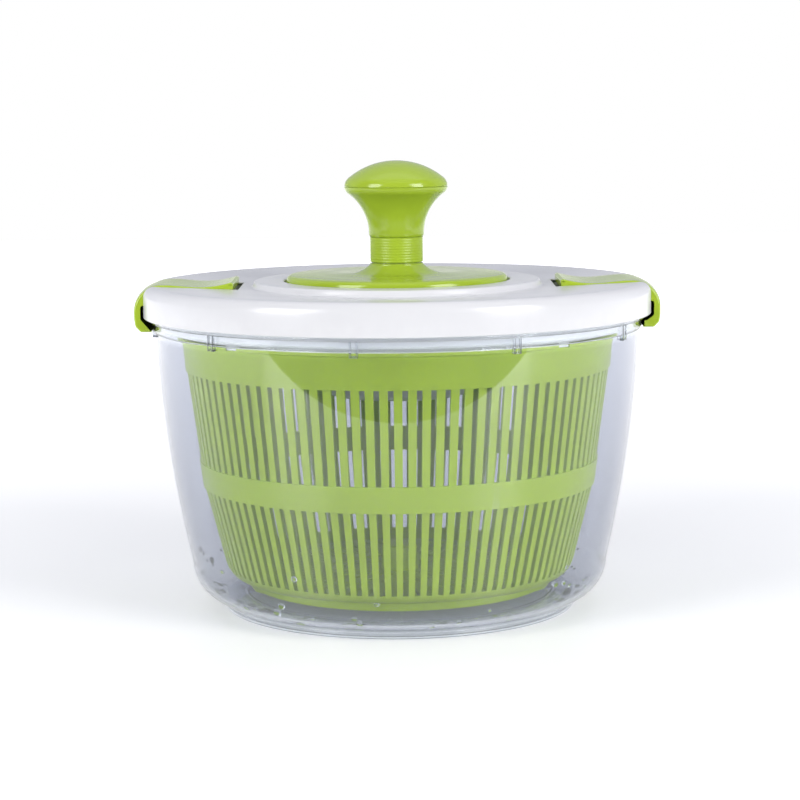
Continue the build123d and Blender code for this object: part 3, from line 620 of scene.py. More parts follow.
@dataclass(frozen=True)
class ClearPlastic(Finish):
    """Clear or translucent moulded plastic, which lets lamps light what is behind it.

    Attributes:
        ior: Index of refraction.
        clearness: How much of the light goes through; the rest is a milky veil.
        rim_color: Tint of the thin rim, or None where the whole piece has one tint.
        rim_mm: Height above which the rim's tint holds.
    """

    ior: float = 1.5
    clearness: float = 0.95
    rim_color: Optional[RGB] = None
    rim_mm: float = 0.0

    def dress(self, graph: Graph, shader: bpy.types.Node, place: object) -> None:
        """Smudges and wiping scratches roughen the glass, and shadow rays pass a tinted clear shader."""
        skin = self.effect(graph, Effect.MOULDED_SKIN, place, Grain=self.grain)
        marks = self.effect(graph, Effect.HAIR_SCRATCHES, place, Amount=self.scratches)
        tint = (*self.color, 1.0) if self.rim_color is None else self.rim_tint(graph, place)
        graph.join(tint, shader.inputs["Base Color"])
        smudged = graph.spread(skin.outputs["Smudge"], 0.0, 1.0, self.roughness, self.roughness + 0.035)
        scratched = graph.math("ADD", smudged, graph.math("MULTIPLY", marks.outputs["Mask"], 0.12))
        graph.join(scratched, shader.inputs["Roughness"])
        graph.join(self.bump(graph, skin.outputs["Height"], self.bump_mm), shader.inputs["Normal"])
        shader.inputs["IOR"].default_value = self.ior
        shader.inputs["Transmission Weight"].default_value = self.clearness
        clear = graph.add("ShaderNodeBsdfTransparent")
        graph.join(tint, clear.inputs["Color"])
        mix = graph.add("ShaderNodeMixShader")
        graph.join(graph.add("ShaderNodeLightPath").outputs["Is Shadow Ray"], mix.inputs[0])
        graph.join(shader.outputs[0], mix.inputs[1])
        graph.join(clear.outputs[0], mix.inputs[2])
        graph.join(mix.outputs[0], graph.tree.nodes["Material Output"].inputs["Surface"])

    def rim_tint(self, graph: Graph, place: object) -> bpy.types.NodeSocket:
        """The tint, which turns into the rim's over the last 3 mm below the rim's height."""
        height = graph.add("ShaderNodeSeparateXYZ")
        graph.join(place, height.inputs[0])
        rim = graph.spread(height.outputs["Z"], (self.rim_mm - 3.0) * MM, self.rim_mm * MM, 0.0, 1.0)
        return graph.blend(rim, (*self.color, 1.0), (*self.rim_color, 1.0))


@dataclass(frozen=True)
class Steel(Finish):
    """Drawn or plated steel.

    Attributes:
        stretch: How far the brushing runs along the part's length.
    """

    stretch: Sequence[float] = (1.0, 1.0, 30.0)

    def dress(self, graph: Graph, shader: bpy.types.Node, place: object) -> None:
        """A stretched noise brushes the surface, and a fine one dulls its colour in spots."""
        brushed = graph.noise(graph.stretched(place, self.stretch), self.grain, 3.0)
        marks = self.effect(graph, Effect.HAIR_SCRATCHES, place, Amount=self.scratches)
        dull = (*(channel * 0.78 for channel in self.color), 1.0)
        spots = graph.spread(graph.noise(place, 420.0, 4.0), 0.45, 0.7, 0.0, 1.0)
        graph.join(graph.blend(spots, (*self.color, 1.0), dull), shader.inputs["Base Color"])
        rough = graph.spread(brushed, 0.3, 0.7, self.roughness * 0.8, self.roughness * 1.3)
        scratched = graph.math("ADD", rough, graph.math("MULTIPLY", marks.outputs["Mask"], 0.1))
        graph.join(scratched, shader.inputs["Roughness"])
        graph.join(self.bump(graph, brushed, self.bump_mm), shader.inputs["Normal"])
        shader.inputs["Metallic"].default_value = 1.0


APPLE_GLOSS = MouldedPlastic("apple_green_gloss", (0.365, 0.50, 0.036), 0.15, grain=700.0, bump_mm=0.004)
APPLE_SATIN = MouldedPlastic("apple_green_satin", (0.49, 0.67, 0.03), 0.32, grain=1300.0, bump_mm=0.008,
                             subsurface=0.12)
APPLE_SOFT = MouldedPlastic("apple_green_soft", (0.39, 0.53, 0.03), 0.34, grain=2200.0, bump_mm=0.012)
LID_WHITE = MouldedPlastic("lid_white_gloss", (0.70, 0.70, 0.725), 0.2, grain=500.0, bump_mm=0.004,
                           tone=0.012, edge_wear=0.2)
INNER_WHITE = MouldedPlastic("inner_white_matt", (0.84, 0.85, 0.86), 0.42, grain=1600.0, bump_mm=0.015,
                             tone=0.02)
ACETAL = MouldedPlastic("natural_acetal", (0.86, 0.85, 0.80), 0.36, grain=1900.0, bump_mm=0.008, tone=0.03,
                        subsurface=0.2)
GREY_NYLON = MouldedPlastic("grey_glass_filled", (0.46, 0.47, 0.49), 0.45, grain=3200.0, bump_mm=0.02,
                            tone=0.1)
BOWL_CLEAR = ClearPlastic("bowl_clear", (0.65, 0.67, 0.725), 0.008, grain=60.0, bump_mm=0.002,
                          clearness=0.985, rim_color=(0.86, 0.88, 0.91), rim_mm=137.0)
FOOT_CLEAR = ClearPlastic("foot_frosted", (0.68, 0.705, 0.735), 0.06, grain=500.0, bump_mm=0.01,
                          ior=1.45, clearness=0.82)
WATER = ClearPlastic("water", (0.96, 0.99, 0.98), 0.0, grain=40.0, bump_mm=0.002, scratches=0.0, ior=1.4,
                     clearness=1.0)
SPRING_STEEL = Steel("spring_steel", (0.60, 0.60, 0.61), 0.28, grain=900.0, bump_mm=0.003)
SCREW_STEEL = Steel("screw_steel", (0.66, 0.67, 0.70), 0.3, grain=1400.0, bump_mm=0.004)
PIN_STEEL = Steel("pin_steel", (0.68, 0.68, 0.69), 0.2, grain=1800.0, bump_mm=0.002,
                  stretch=(30.0, 1.0, 30.0))


# ---------------------------------------------------------------- bowl

@dataclass
class Bowl:
    """The clear bowl, its rim lugs and the foot ring."""

    top_z: float
    low_z: float
    flange_r: float
    foot_r: float
    wall: float = 2.2
    top_r: float = 119.0
    bulge_r: float = 113.7
    bulge_z: float = 80.0
    waist_r: float = 103.3
    waist_z: float = 22.8
    corner_r: float = 18.9
    band_r: float = 120.4
    band_z: float = 137.3
    flange_thick: float = 2.0
    foot_inner_r: float = 79.0
    foot_height: float = 3.9
    stud_r: float = 4.0
    stud_top_z: float = 22.0
    lug_count: int = 10
    lug_start_deg: float = -99.4
    lug_r: float = 120.6
    lug_low_z: float = 135.2

    @classmethod
    def from_frame(cls) -> "Bowl":
        """A bowl that fills its CAD nodes' boxes."""
        low, high = box_mm("bowl")
        return cls(top_z=high.z, low_z=low.z, flange_r=high.x, foot_r=box_mm("foot_ring")[1].x)

    def inner_rows(self) -> list[Row]:
        """The inner face, from the top of the wall to the middle of the floor's edge."""
        wall_top = self.top_r - self.wall
        low_r, corner = self.corner_r - self.wall, self.waist_r - self.corner_r
        wall = arc_rows((wall_top, self.band_z), (self.bulge_r - self.wall, self.bulge_z),
                        (self.waist_r - self.wall, self.waist_z), 40)
        deep = math.sqrt(0.5) * low_r
        turn = arc_rows((corner + low_r, self.waist_z), (corner + deep, self.waist_z - deep),
                        (corner, self.waist_z - low_r), 18)
        return wall + turn[1:]

    def outer_rows(self) -> list[Row]:
        """The outer face, from the foot to the rim's band."""
        corner = self.waist_r - self.corner_r
        deep = math.sqrt(0.5) * self.corner_r
        turn = arc_rows((corner, self.waist_z - self.corner_r), (corner + deep, self.waist_z - deep),
                        (self.waist_r, self.waist_z), 18)
        wall = arc_rows((self.waist_r, self.waist_z), (self.bulge_r, self.bulge_z),
                        (self.top_r, self.band_z), 40)
        return turn + wall[1:]

    def shell(self) -> Patch:
        """The bowl's wall, floor, stud and rim, turned about Z."""
        flange_z = self.top_z - self.flange_thick
        floor_z = self.foot_height + self.wall
        rib_out, rib_in, rib_z = self.foot_inner_r - 0.3, self.foot_inner_r - 2.6, self.low_z
        rows = [
            (0.0, self.foot_height, 0.0), (rib_in, self.foot_height, 0.4), (rib_in, rib_z, 0.5),
            (rib_out, rib_z, 0.5), (rib_out, self.foot_height, 0.0), *self.outer_rows(),
            (self.band_r, self.band_z + 0.6, 0.5), (self.band_r, flange_z, 0.3),
            (self.flange_r, flange_z, 0.7), (self.flange_r, self.top_z, 0.7),
            (self.top_r - self.wall, self.top_z, 0.6), *self.inner_rows(),
            (9.4, floor_z, 2.5), (5.0, 11.4, 1.0), (self.stud_r, 12.4, 0.5),
            (self.stud_r, self.stud_top_z, 1.2), (0.0, self.stud_top_z, 0.0)]
        return revolved(outline(rows, closed=False), closed=False)

    def lug(self) -> list[Patch]:
        """One U-shaped lug under the rim, on the +X side: two cheeks and the bar that joins them."""
        flange_z = self.top_z - self.flange_thick
        inner_r, bar = self.top_r - 0.4, 0.9
        cheeks = [plain_block((inner_r, y, self.lug_low_z), (self.lug_r, y + bar, flange_z))
                  for y in (-2.0, 2.0 - bar)]
        foot = plain_block((inner_r, -2.0 + bar, self.lug_low_z),
                           (self.lug_r, 2.0 - bar, self.lug_low_z + bar))
        return [*cheeks, foot]

    def build(self) -> None:
        """Make the bowl with its lugs."""
        bowl = make_piece("clear_bowl", [self.shell()])
        fit(bowl, "bowl", BOWL_CLEAR, "clear_bowl", "bowl")
        turns = [self.lug_start_deg + 360 / self.lug_count * k for k in range(self.lug_count)]
        parts = [part.moved(turn_about_z(turn)) for turn in turns for part in self.lug()]
        lugs = make_piece("rim_lugs", parts)
        soften_edges(lugs, 0.25)
        fit(lugs, "bowl", BOWL_CLEAR, "clear_bowl")

    def build_foot(self) -> None:
        """Make the foot ring, with a shallow groove that marks it off from the bowl."""
        rows = [
            (self.foot_inner_r, 0.0, 0.6), (self.foot_r, 0.0, 0.8),
            (self.foot_r, self.foot_height - 1.0, 0.3), (self.foot_r - 1.1, self.foot_height - 0.7, 0.1),
            (self.foot_r - 1.1, self.foot_height - 0.05, 0.0),
            (self.foot_inner_r, self.foot_height - 0.05, 0.2)]
        foot = make_piece("soft_foot", [revolved(outline(rows))])
        fit(foot, "bowl", FOOT_CLEAR, "foot_ring", "foot_ring")


@dataclass
class WaterDrops:
    """Drops of spun-off water on the inside of the bowl: flattened caps of a sphere.

    Attributes:
        bowl: The bowl that they lie in.
        count: How many drops there are.
        rings: Rings of faces in one drop.
        sides: Faces round one drop.
        flatness: A drop's height as a share of its radius.
        seed: Seed for where the drops lie.
    """

    bowl: Bowl
    count: int = 260
    rings: int = 4
    sides: int = 10
    flatness: float = 0.8
    seed: int = 7

    def unit_drop(self) -> Patch:
        """One drop of radius 1: r = sin u and z = flatness * cos u over the top, and a flat base."""
        u = np.linspace(0.0, math.pi / 2, self.rings + 1)
        top = np.stack([np.sin(u), self.flatness * np.cos(u)], axis=1)
        base = np.array([[1.0, -0.02], [0.0, -0.02]])
        return revolved(np.concatenate([top, base]), self.sides, closed=False)

    def places(self) -> tuple[Array, Array]:
        """Random places on the bowl's inner face, most of them low down, and the face's normals there."""
        random = np.random.default_rng(self.seed)
        rows = np.array(self.bowl.inner_rows())[:, :2]
        low = rows[rows[:, 1] < 42.0]
        floor = np.stack([np.linspace(low[-1, 0], 60.0, 12)[1:], np.full(11, low[-1, 1])], axis=1)
        path = np.concatenate([low, floor])
        step = np.concatenate([[0.0], np.cumsum(np.linalg.norm(np.diff(path, axis=0), axis=1))])
        along = step[-1] * np.clip(random.beta(2.9, 1.7, self.count), 0.02, 0.98)
        r, z = np.interp(along, step, path[:, 0]), np.interp(along, step, path[:, 1])
        ahead = np.interp(along + 0.4, step, path[:, 0]) - r, np.interp(along + 0.4, step, path[:, 1]) - z
        turn = random.uniform(0.0, 2 * math.pi, self.count)
        around = np.stack([np.cos(turn), np.sin(turn)], axis=1)
        normal = np.stack([ahead[1], -ahead[0]], axis=1) / np.hypot(*ahead)[:, None]
        places = np.concatenate([around * r[:, None], z[:, None]], axis=1)
        normals = np.concatenate([around * normal[:, :1], normal[:, 1:]], axis=1)
        return places, normals

    def build(self) -> None:
        """Make all the drops as one piece."""
        random = np.random.default_rng(self.seed + 1)
        drop = self.unit_drop()
        places, normals = self.places()
        size = 0.7 + 2.3 * random.beta(1.2, 3.4, self.count)
        long = random.uniform(1.0, 1.9, self.count)
        patches = []
        for place, normal, radius, length in zip(places, normals, size, long):
            side = np.cross(normal, (0.0, 0.0, 1.0))
            side /= np.linalg.norm(side)
            across = np.cross(normal, side)
            axes = radius * np.stack([side * length, across, normal], axis=1)
            patches.append(drop.moved(axes, place + normal * 0.03))
        water = make_piece("water_drops", patches, 60.0)
        fit(water, "bowl", WATER, "clear_bowl")


# ---------------------------------------------------------------- basket

@dataclass
class Basket:
    """The slotted basket, moulded in one with the hub that holds its bush."""

    rim_r: float
    top_z: float
    foot_z: float
    wall: float = 1.8
    rim_thick: float = 2.0
    band_z: float = 118.8
    mid_top_z: float = 73.7
    mid_low_z: float = 61.2
    slot_low_z: float = 20.4
    slot_count: int = 100
    slot_width: float = 2.6
    foot_r: float = 74.6
    floor_z: float = 14.2
    floor_thick: float = 2.0
    hub_r: float = 9.4
    hub_bore_r: float = 6.5
    hub_top_z: float = 28.4
    bore_top_z: float = 25.8
    notch_half: float = 4.0
    drive_notches: int = 4

    @classmethod
    def from_frame(cls) -> "Basket":
        """A basket that fills its CAD node's box."""
        low, high = box_mm("basket")
        return cls(rim_r=high.x, top_z=high.z, foot_z=low.z)

    def outer_radius(self, z: Array) -> Array:
        """The outer wall's radius: a round corner to z 27, then three straight tapers with proud bands."""
        z_known = [14.2, 15.4, 17.6, 20.4, 23.6, 27.0, self.mid_low_z, self.mid_low_z + 0.01,
                   self.mid_top_z, self.mid_top_z + 0.01, self.band_z, self.band_z + 0.01, self.top_z]
        r_known = [75.2, 80.2, 84.0, 86.0, 87.2, 88.0, 96.6, 97.3, 98.9, 98.2, 104.2, 104.9, 106.4]
        return np.interp(z, z_known, r_known)

    def wall_patch(self) -> Patch:
        """The wall as a pierced shell, with a column edge on each side of every slot.

        A slot keeps one width from top to bottom, so its columns' angles are the slot's half width over
        the radius there.
        """
        gap = 0.02
        heights = np.array([
            self.floor_z, 15.0, 16.2, 17.8, self.slot_low_z, 23.6, 27.0, 38.0, 50.0,
            self.mid_low_z - gap, self.mid_low_z + gap, self.mid_top_z - gap, self.mid_top_z + gap,
            88.0, 103.0, self.band_z - gap, self.band_z + gap, 125.0, 131.0, self.top_z - self.rim_thick])
        radius = self.outer_radius(heights)
        half_slot = 0.5 * self.slot_width / radius
        pitch = 2 * math.pi / self.slot_count
        share = np.array([-1.0, 1.0])
        rib = np.array([1.0, 2.0]) / 3.0
        starts = np.arange(self.slot_count) * pitch + 0.5 * pitch
        slot_edges = half_slot[:, None] * share
        rib_edges = half_slot[:, None] + rib[None] * (pitch - 2 * half_slot[:, None])
        offsets = np.concatenate([slot_edges, rib_edges], axis=1)
        angle = (starts[None, :, None] + offsets[:, None, :]).reshape(len(heights), -1)
        circle = np.stack([np.cos(angle), np.sin(angle)], axis=2)
        level = np.broadcast_to(heights[:, None, None], (*angle.shape, 1))
        outer = np.concatenate([circle * radius[:, None, None], level], axis=2)
        inner_r = np.minimum(radius, self.outer_radius(heights - 0.6)) - self.wall
        inner = np.concatenate([circle * inner_r[:, None, None], level], axis=2)
        middle = 0.5 * (heights[1:] + heights[:-1])
        low = (middle > self.slot_low_z) & (middle < self.mid_low_z - gap)
        high = (middle > self.mid_top_z + gap) & (middle < self.band_z - gap)
        solid = np.ones((len(middle), angle.shape[1]), bool)
        solid[np.ix_(low | high, np.arange(0, angle.shape[1], 4))] = False
        return pierced_shell(outer, inner, solid)

    def floor_patch(self) -> Patch:
        """The floor as a pierced ring, with two rows of radial slots."""
        radii = np.array([self.hub_r - 0.4, 15.0, 25.0, 36.0, 41.0, 54.0, 68.0, self.foot_r - 1.0])
        slots = ((1, 3, 4), (4, 6, 2))
        columns = 192
        angle = np.arange(columns) * 2 * math.pi / columns
        grid = np.stack([np.cos(angle), np.sin(angle)], axis=1)[None] * radii[:, None, None]
        under = np.concatenate([grid, np.full((*grid.shape[:2], 1), self.floor_z)], axis=2)
        over = under + np.array([0.0, 0.0, self.floor_thick])
        solid = np.ones((len(radii) - 1, columns), bool)
        for first, last, width in slots:
            for shift in range(width // 2):
                solid[first:last, shift::width * 2] = False
        return pierced_shell(under, over, solid)

    def rim_patch(self) -> Patch:
        """The rolled rim as a pierced ring with the drive notches."""
        columns = 360
        angle = np.arange(columns) * 2 * math.pi / columns
        radii = np.array([104.5, 105.6, 107.0, self.rim_r - 0.3, self.rim_r])
        drop = np.array([0.0, 0.0, 0.0, 0.05, 0.35])
        circle = np.stack([np.cos(angle), np.sin(angle)], axis=1)[None] * radii[:, None, None]
        flat = (*circle.shape[:2], 1)
        low = np.broadcast_to((self.top_z - self.rim_thick + 0.5 * drop)[:, None, None], flat)
        high = np.broadcast_to((self.top_z - drop)[:, None, None], flat)
        step = 360.0 / columns
        centre = np.arange(columns) * step + 0.5 * step
        spacing = 360.0 / self.drive_notches
        off = np.abs(centre % spacing - spacing / 2)
        notch = off < math.degrees(self.notch_half / self.rim_r)
        solid = np.ones((len(radii) - 1, columns), bool)
        solid[:, notch] = False
        under, over = (np.concatenate([circle, level], axis=2) for level in (low, high))
        return pierced_shell(under, over, solid)

    def hub_and_foot(self) -> list[Patch]:
        """The foot ring under the floor and the hub that rises from its middle."""
        floor_top = self.floor_z + self.floor_thick
        foot = [
            (self.foot_r - 2.0, self.foot_z, 0.4), (self.foot_r, self.foot_z, 0.5),
            (self.foot_r + 0.8, self.floor_z + 0.8, 0.3), (self.foot_r + 0.4, floor_top, 0.0),
            (self.foot_r - 2.0, floor_top, 0.0)]
        hub = [
            (0.0, self.bore_top_z, 0.0), (self.hub_bore_r, self.bore_top_z, 0.0),
            (self.hub_bore_r, self.floor_z, 0.0), (self.hub_r, self.floor_z, 0.3),
            (self.hub_r - 0.4, self.hub_top_z, 1.0), (0.0, self.hub_top_z, 0.0)]
        return [revolved(outline(foot)), revolved(outline(hub, closed=False), 96, closed=False)]

    def build(self) -> None:
        """Make the basket."""
        patches = [self.wall_patch(), self.floor_patch(), self.rim_patch(), *self.hub_and_foot()]
        basket = make_piece("slotted_basket", patches)
        soften_edges(basket, 0.22, 2, 50.0)
        fit(basket, "basket", APPLE_SATIN, "green_basket", "basket")


# ---------------------------------------------------------------- lid

@dataclass
class Lid:
    """The white lid shell with its plateau, recess and the two latch pockets."""

    radius: float
    low_z: float
    plateau_z: float
    top_z: float = 158.0
    brow_z: float = 160.37
    thick: float = 2.2
    shoulder_r: float = 8.0
    plateau_r: float = 70.4
    recess_r: float = 55.6
    hole_r: float = 26.8
    pocket_half: float = 22.4
    pocket_end_x: float = 77.2
    pocket_floor_z: float = 149.4
    pocket_wall: float = 2.4

    @classmethod
    def from_frame(cls) -> "Lid":
        """A lid that fills its CAD node's box."""
        low, high = box_mm("lid_shell")
        return cls(radius=high.y, low_z=low.z, plateau_z=high.z)

    @property
    def pocket_corner_r(self) -> float:
        """The radius of the pocket's two inner corners."""
        return math.hypot(self.pocket_end_x, self.pocket_half)

    def skin_rows(self, inset: float) -> list[Row]:
        """The skin's outline from the lower edge, over the shoulder and plateau, to the middle hole.

        Args:
            inset: 0 for the outer face, or the wall's thickness for the inner one.
        """
        outer, top = self.radius - inset, self.top_z - inset
        base_r, flank_r = self.plateau_r + 3.4, self.plateau_r + 0.4
        rise = self.plateau_z - inset
        slope = (self.brow_z - self.top_z) / (self.radius - base_r)
        return [
            (outer, self.low_z, 0.0), (outer, self.low_z + 0.5, 0.0), (outer, self.pocket_floor_z, 0.0),
            (outer, self.brow_z - inset, self.shoulder_r - 0.5 * inset),
            (100.0, top + slope * (100.0 - base_r), 0.0),
            (self.pocket_corner_r, top + slope * (self.pocket_corner_r - base_r), 0.0),
            (base_r - inset, top, 0.0), (flank_r + 0.5 - inset, top, 1.6),
            (self.plateau_r - 0.3 - inset, rise, 1.4), (63.0, rise, 0.0),
            (self.recess_r + inset, rise, 0.7), (self.recess_r + inset, top, 0.5), (40.0, top, 0.0),
            (self.hole_r, top, 0.0)]

    def warped_angles(self, radius: Array) -> tuple[Array, int]:
        """Column angles that follow the pockets' straight sides.

        In each quarter the first columns cover 0 to asin(pocket half / r), and the rest spread evenly to
        the quarter's end, so the pocket's side is a straight line at y = pocket half.

        Args:
            radius: Each row's radius.

        Returns:
            The angles, shape (rows, columns), and how many columns of a quarter lie in a pocket.
        """
        in_pocket, outside = 12, 44
        edge = np.arcsin(self.pocket_half / np.maximum(radius, self.pocket_half * 1.9))[:, None]
        first = edge * np.linspace(0.0, 1.0, in_pocket, endpoint=False)
        rest = edge + (math.pi / 2 - edge) * np.linspace(0.0, 1.0, outside + 1)
        quarter = np.concatenate([first, rest], axis=1)
        half = np.concatenate([quarter[:, :-1], math.pi - quarter[:, :0:-1]], axis=1)
        return np.concatenate([half, half + math.pi], axis=1), in_pocket

    def skin(self) -> Patch:
        """The lid's skin as a pierced shell, open over the two pockets and where the latches hook down.

        The row through the pockets' inner corners is pulled in to x = pocket end between them, which makes
        each opening's end straight: r = min(corner r, pocket end / |cos t|).
        """
        outer = outline(self.skin_rows(0.0), closed=False, steps=9)
        inner = outline(self.skin_rows(self.thick), closed=False, steps=9)
        angle, in_pocket = self.warped_angles(outer[:, 0])
        inner_angle, _ = self.warped_angles(inner[:, 0])

        def grid(points: Array, angles: Array) -> Array:
            """An outline spread over its own angles."""
            r, z = points[:, 0, None], points[:, 1, None]
            end_row = np.isclose(r, self.pocket_corner_r)
            straight = self.pocket_end_x / np.maximum(np.abs(np.cos(angles)), 0.1)
            r = np.where(end_row, np.minimum(r, straight), r)
            return np.stack([r * np.cos(angles), r * np.sin(angles), z + 0.0 * angles], axis=2)

        rows, columns = len(outer) - 1, angle.shape[1]
        middle_r = 0.5 * (outer[1:, 0] + outer[:-1, 0])
        middle_z = 0.5 * (outer[1:, 1] + outer[:-1, 1])
        open_rows = (middle_r > self.pocket_corner_r) & (middle_z > self.pocket_floor_z)
        cells = np.arange(columns)
        half = columns // 2
        near = np.minimum(cells % half, half - 1 - cells % half)
        solid = np.ones((rows, columns), bool)
        solid[np.ix_(open_rows, near < in_pocket)] = False
        return pierced_shell(grid(outer, angle), grid(inner, inner_angle), solid)

    def pocket(self) -> list[Patch]:
        """The trough of the right-hand pocket: floor, two sides and end."""
        half, wall = self.pocket_half, self.pocket_wall
        top, floor = self.top_z - 0.1, self.pocket_floor_z
        low = floor - 1.6
        reach = 121.6
        end = self.pocket_end_x
        return [
            plain_block((end - wall, -half - wall, low), (reach, half + wall, floor)),
            plain_block((end - wall, -half - wall, floor), (reach - 1.6, -half, top)),
            plain_block((end - wall, half, floor), (reach - 1.6, half + wall, top)),
            plain_block((end - wall, -half, floor), (end, half, top))]

    def build(self) -> None:
        """Make the lid shell with both pockets."""
        lid = make_piece("white_lid", [self.skin()])
        soften_edges(lid, 0.5, 3, 40.0)
        fit(lid, "lid", LID_WHITE, "white_lid", "lid_shell")
        troughs = [part.moved(turn_about_z(turn)) for turn in (0.0, 180.0) for part in self.pocket()]
        pockets = make_piece("latch_pockets", troughs)
        soften_edges(pockets, 0.2)
        fit(pockets, "lid", INNER_WHITE, "white_lid")


@dataclass
class DriveCover:
    """The green cover in the lid's recess, with the flared collar that the plunger slides through."""

    radius: float
    lip_z: float
    low_z: float
    rim_z: float = 163.6
    rise_z: float = 164.0
    edge_r: float = 2.6
    collar_foot_r: float = 22.0
    collar_lip_r: float = 13.2
    bore_r: float = 12.35

    @classmethod
    def from_frame(cls) -> "DriveCover":
        """A cover that fills its CAD node's box above the lid's recess."""
        low, high = box_mm("drive_cover")
        return cls(radius=high.x, lip_z=high.z, low_z=low.z + 2.2)

    def build(self) -> None:
        """Make the cover: a thick disc with a round edge, which sweeps up into the collar."""
        flare = arc_rows((self.collar_foot_r, self.rise_z), (16.8, 165.8),
                         (self.collar_lip_r, self.lip_z - 0.6), 18)
        rows = [
            (self.radius - 2.2, self.low_z, 0.2), (self.radius, self.low_z, 0.3),
            (self.radius, self.rim_z, self.edge_r), (38.0, self.rim_z + 0.15, 0.0), *flare,
            (self.collar_lip_r - 0.1, self.lip_z, 0.35), (self.bore_r, self.lip_z, 0.3),
            (self.bore_r, 163.2, 0.0), (14.4, 163.2, 0.0), (14.4, 156.0, 0.0), (16.6, 156.0, 0.0),
            (16.6, self.rise_z - 2.4, 0.8), (self.radius - 2.2, self.rim_z - 2.2, 0.8)]
        cover = make_piece("green_drive_cover", [revolved(outline(rows))], 35.0)
        fit(cover, "lid", APPLE_GLOSS, "green_gloss", "drive_cover")


# ---------------------------------------------------------------- plunger

@dataclass
class Plunger:
    """The knob in two halves, its ribbed sleeve and the tube under it."""

    knob_r: float
    knob_top_z: float
    seam_z: float
    knob_low_z: float
    sleeve_low_z: float
    sleeve_r: float
    tube_r: float
    tube_low_z: float
    tube_top_z: float
    tube_bore_r: float = 10.2
    crown_r: float = 23.3
    crown_z: float = 210.86
    rib_pitch: float = 1.3

    @classmethod
    def from_frame(cls) -> "Plunger":
        """A plunger that fills its CAD nodes' boxes."""
        cap_low, cap_high = box_mm("knob_cap")
        body_low, body_high = box_mm("knob_body")
        sleeve_low, sleeve_high = box_mm("stop_sleeve")
        tube_low, tube_high = box_mm("plunger_tube")
        return cls(knob_r=body_high.x, knob_top_z=cap_high.z, seam_z=cap_low.z, knob_low_z=body_low.z,
                   sleeve_low_z=sleeve_low.z, sleeve_r=sleeve_high.x, tube_r=tube_high.x,
                   tube_low_z=tube_low.z, tube_top_z=tube_high.z)

    def build_cap(self) -> None:
        """The domed cap: a sphere's crown that rolls over a tight brim to the seam, hollow below."""
        dome = arc_rows((0.0, self.knob_top_z), (self.crown_r * 0.5, self.knob_top_z - 1.895),
                        (self.crown_r, self.crown_z), 30)
        brim = arc_rows((self.crown_r, self.crown_z), (24.67, 209.2),
                        (self.knob_r - 0.05, self.seam_z + 0.35), 14)
        rows = [*dome, *brim[1:], (self.knob_r - 0.3, self.seam_z, 0.15), (23.0, self.seam_z, 0.2),
                (17.6, 211.2, 3.0), (11.4, 213.6, 0.6), (11.4, 211.5, 0.0), (4.0, 211.5, 0.3),
                (4.0, 207.2, 0.6), (0.0, 207.2, 0.0)]
        cap = make_piece("knob_crown", [revolved(outline(rows, closed=False), closed=False)], 35.0)
        fit(cap, "plunger", APPLE_GLOSS, "green_gloss", "knob_cap")

    def build_body(self) -> None:
        """The flared lower half: a straight socket that sweeps out to the seam."""
        flare = arc_rows((13.6, self.knob_low_z + 0.9), (16.1, 194.2), (23.4, 203.0), 30)
        brim = arc_rows((23.4, 203.0), (25.0, 204.8), (self.knob_r - 0.02, self.seam_z - 0.35), 12)
        rows = [
            (self.tube_r + 0.1, self.knob_low_z, 0.0), (13.1, self.knob_low_z, 0.25), *flare, *brim[1:],
            (self.knob_r - 0.25, self.seam_z - 0.05, 0.15),
            (23.0, self.seam_z - 0.05, 0.0), (19.6, 204.0, 0.8), (15.6, 200.0, 0.8), (14.2, 198.0, 0.0),
            (self.tube_bore_r, 198.0, 0.0), (self.tube_bore_r, self.tube_top_z, 0.0),
            (self.tube_r + 0.1, self.tube_top_z, 0.0)]
        body = make_piece("knob_stem", [revolved(outline(rows))], 35.0)
        fit(body, "plunger", APPLE_GLOSS, "green_gloss", "knob_body")

    def build_sleeve(self) -> None:
        """The soft sleeve: a tube whose outside has fine round ribs, r = R - d * |sin(pi z / pitch)|^0.5."""
        low, high = self.sleeve_low_z, self.knob_low_z - 0.05
        z = np.linspace(low + 0.3, high - 0.3, 60)
        dip = 0.22 * (1 - np.abs(np.sin(math.pi * (z - low) / self.rib_pitch)) ** 0.4)
        ribs = np.stack([self.sleeve_r - dip, z], axis=1)
        ends = np.array([[self.tube_r + 0.05, high], [self.tube_r + 0.05, low], [self.sleeve_r - 0.4, low]])
        top = np.array([[self.sleeve_r - 0.4, high]])
        sleeve = make_piece("ribbed_sleeve", [revolved(np.concatenate([ends, ribs, top]))], 50.0)
        fit(sleeve, "plunger", APPLE_SOFT, "green_soft", "stop_sleeve")

    def build_tube(self) -> None:
        """The plain tube, with a lead-in round at its foot."""
        rows = [(self.tube_bore_r, self.tube_low_z, 0.2), (self.tube_r, self.tube_low_z, 0.6),
                (self.tube_r, self.tube_top_z, 0.0), (self.tube_bore_r, self.tube_top_z, 0.0)]
        tube = make_piece("plunger_barrel", [revolved(outline(rows))], 35.0)
        fit(tube, "plunger", APPLE_GLOSS, "green_gloss", "plunger_tube")

    def build(self) -> None:
        """Make all four pieces."""
        self.build_cap()
        self.build_body()
        self.build_sleeve()
        self.build_tube()


# ---------------------------------------------------------------- latches

class Side(Enum):
    """Which side of the lid a latch is on, as its turn about Z in degrees."""

    RIGHT = 0.0
    LEFT = 180.0


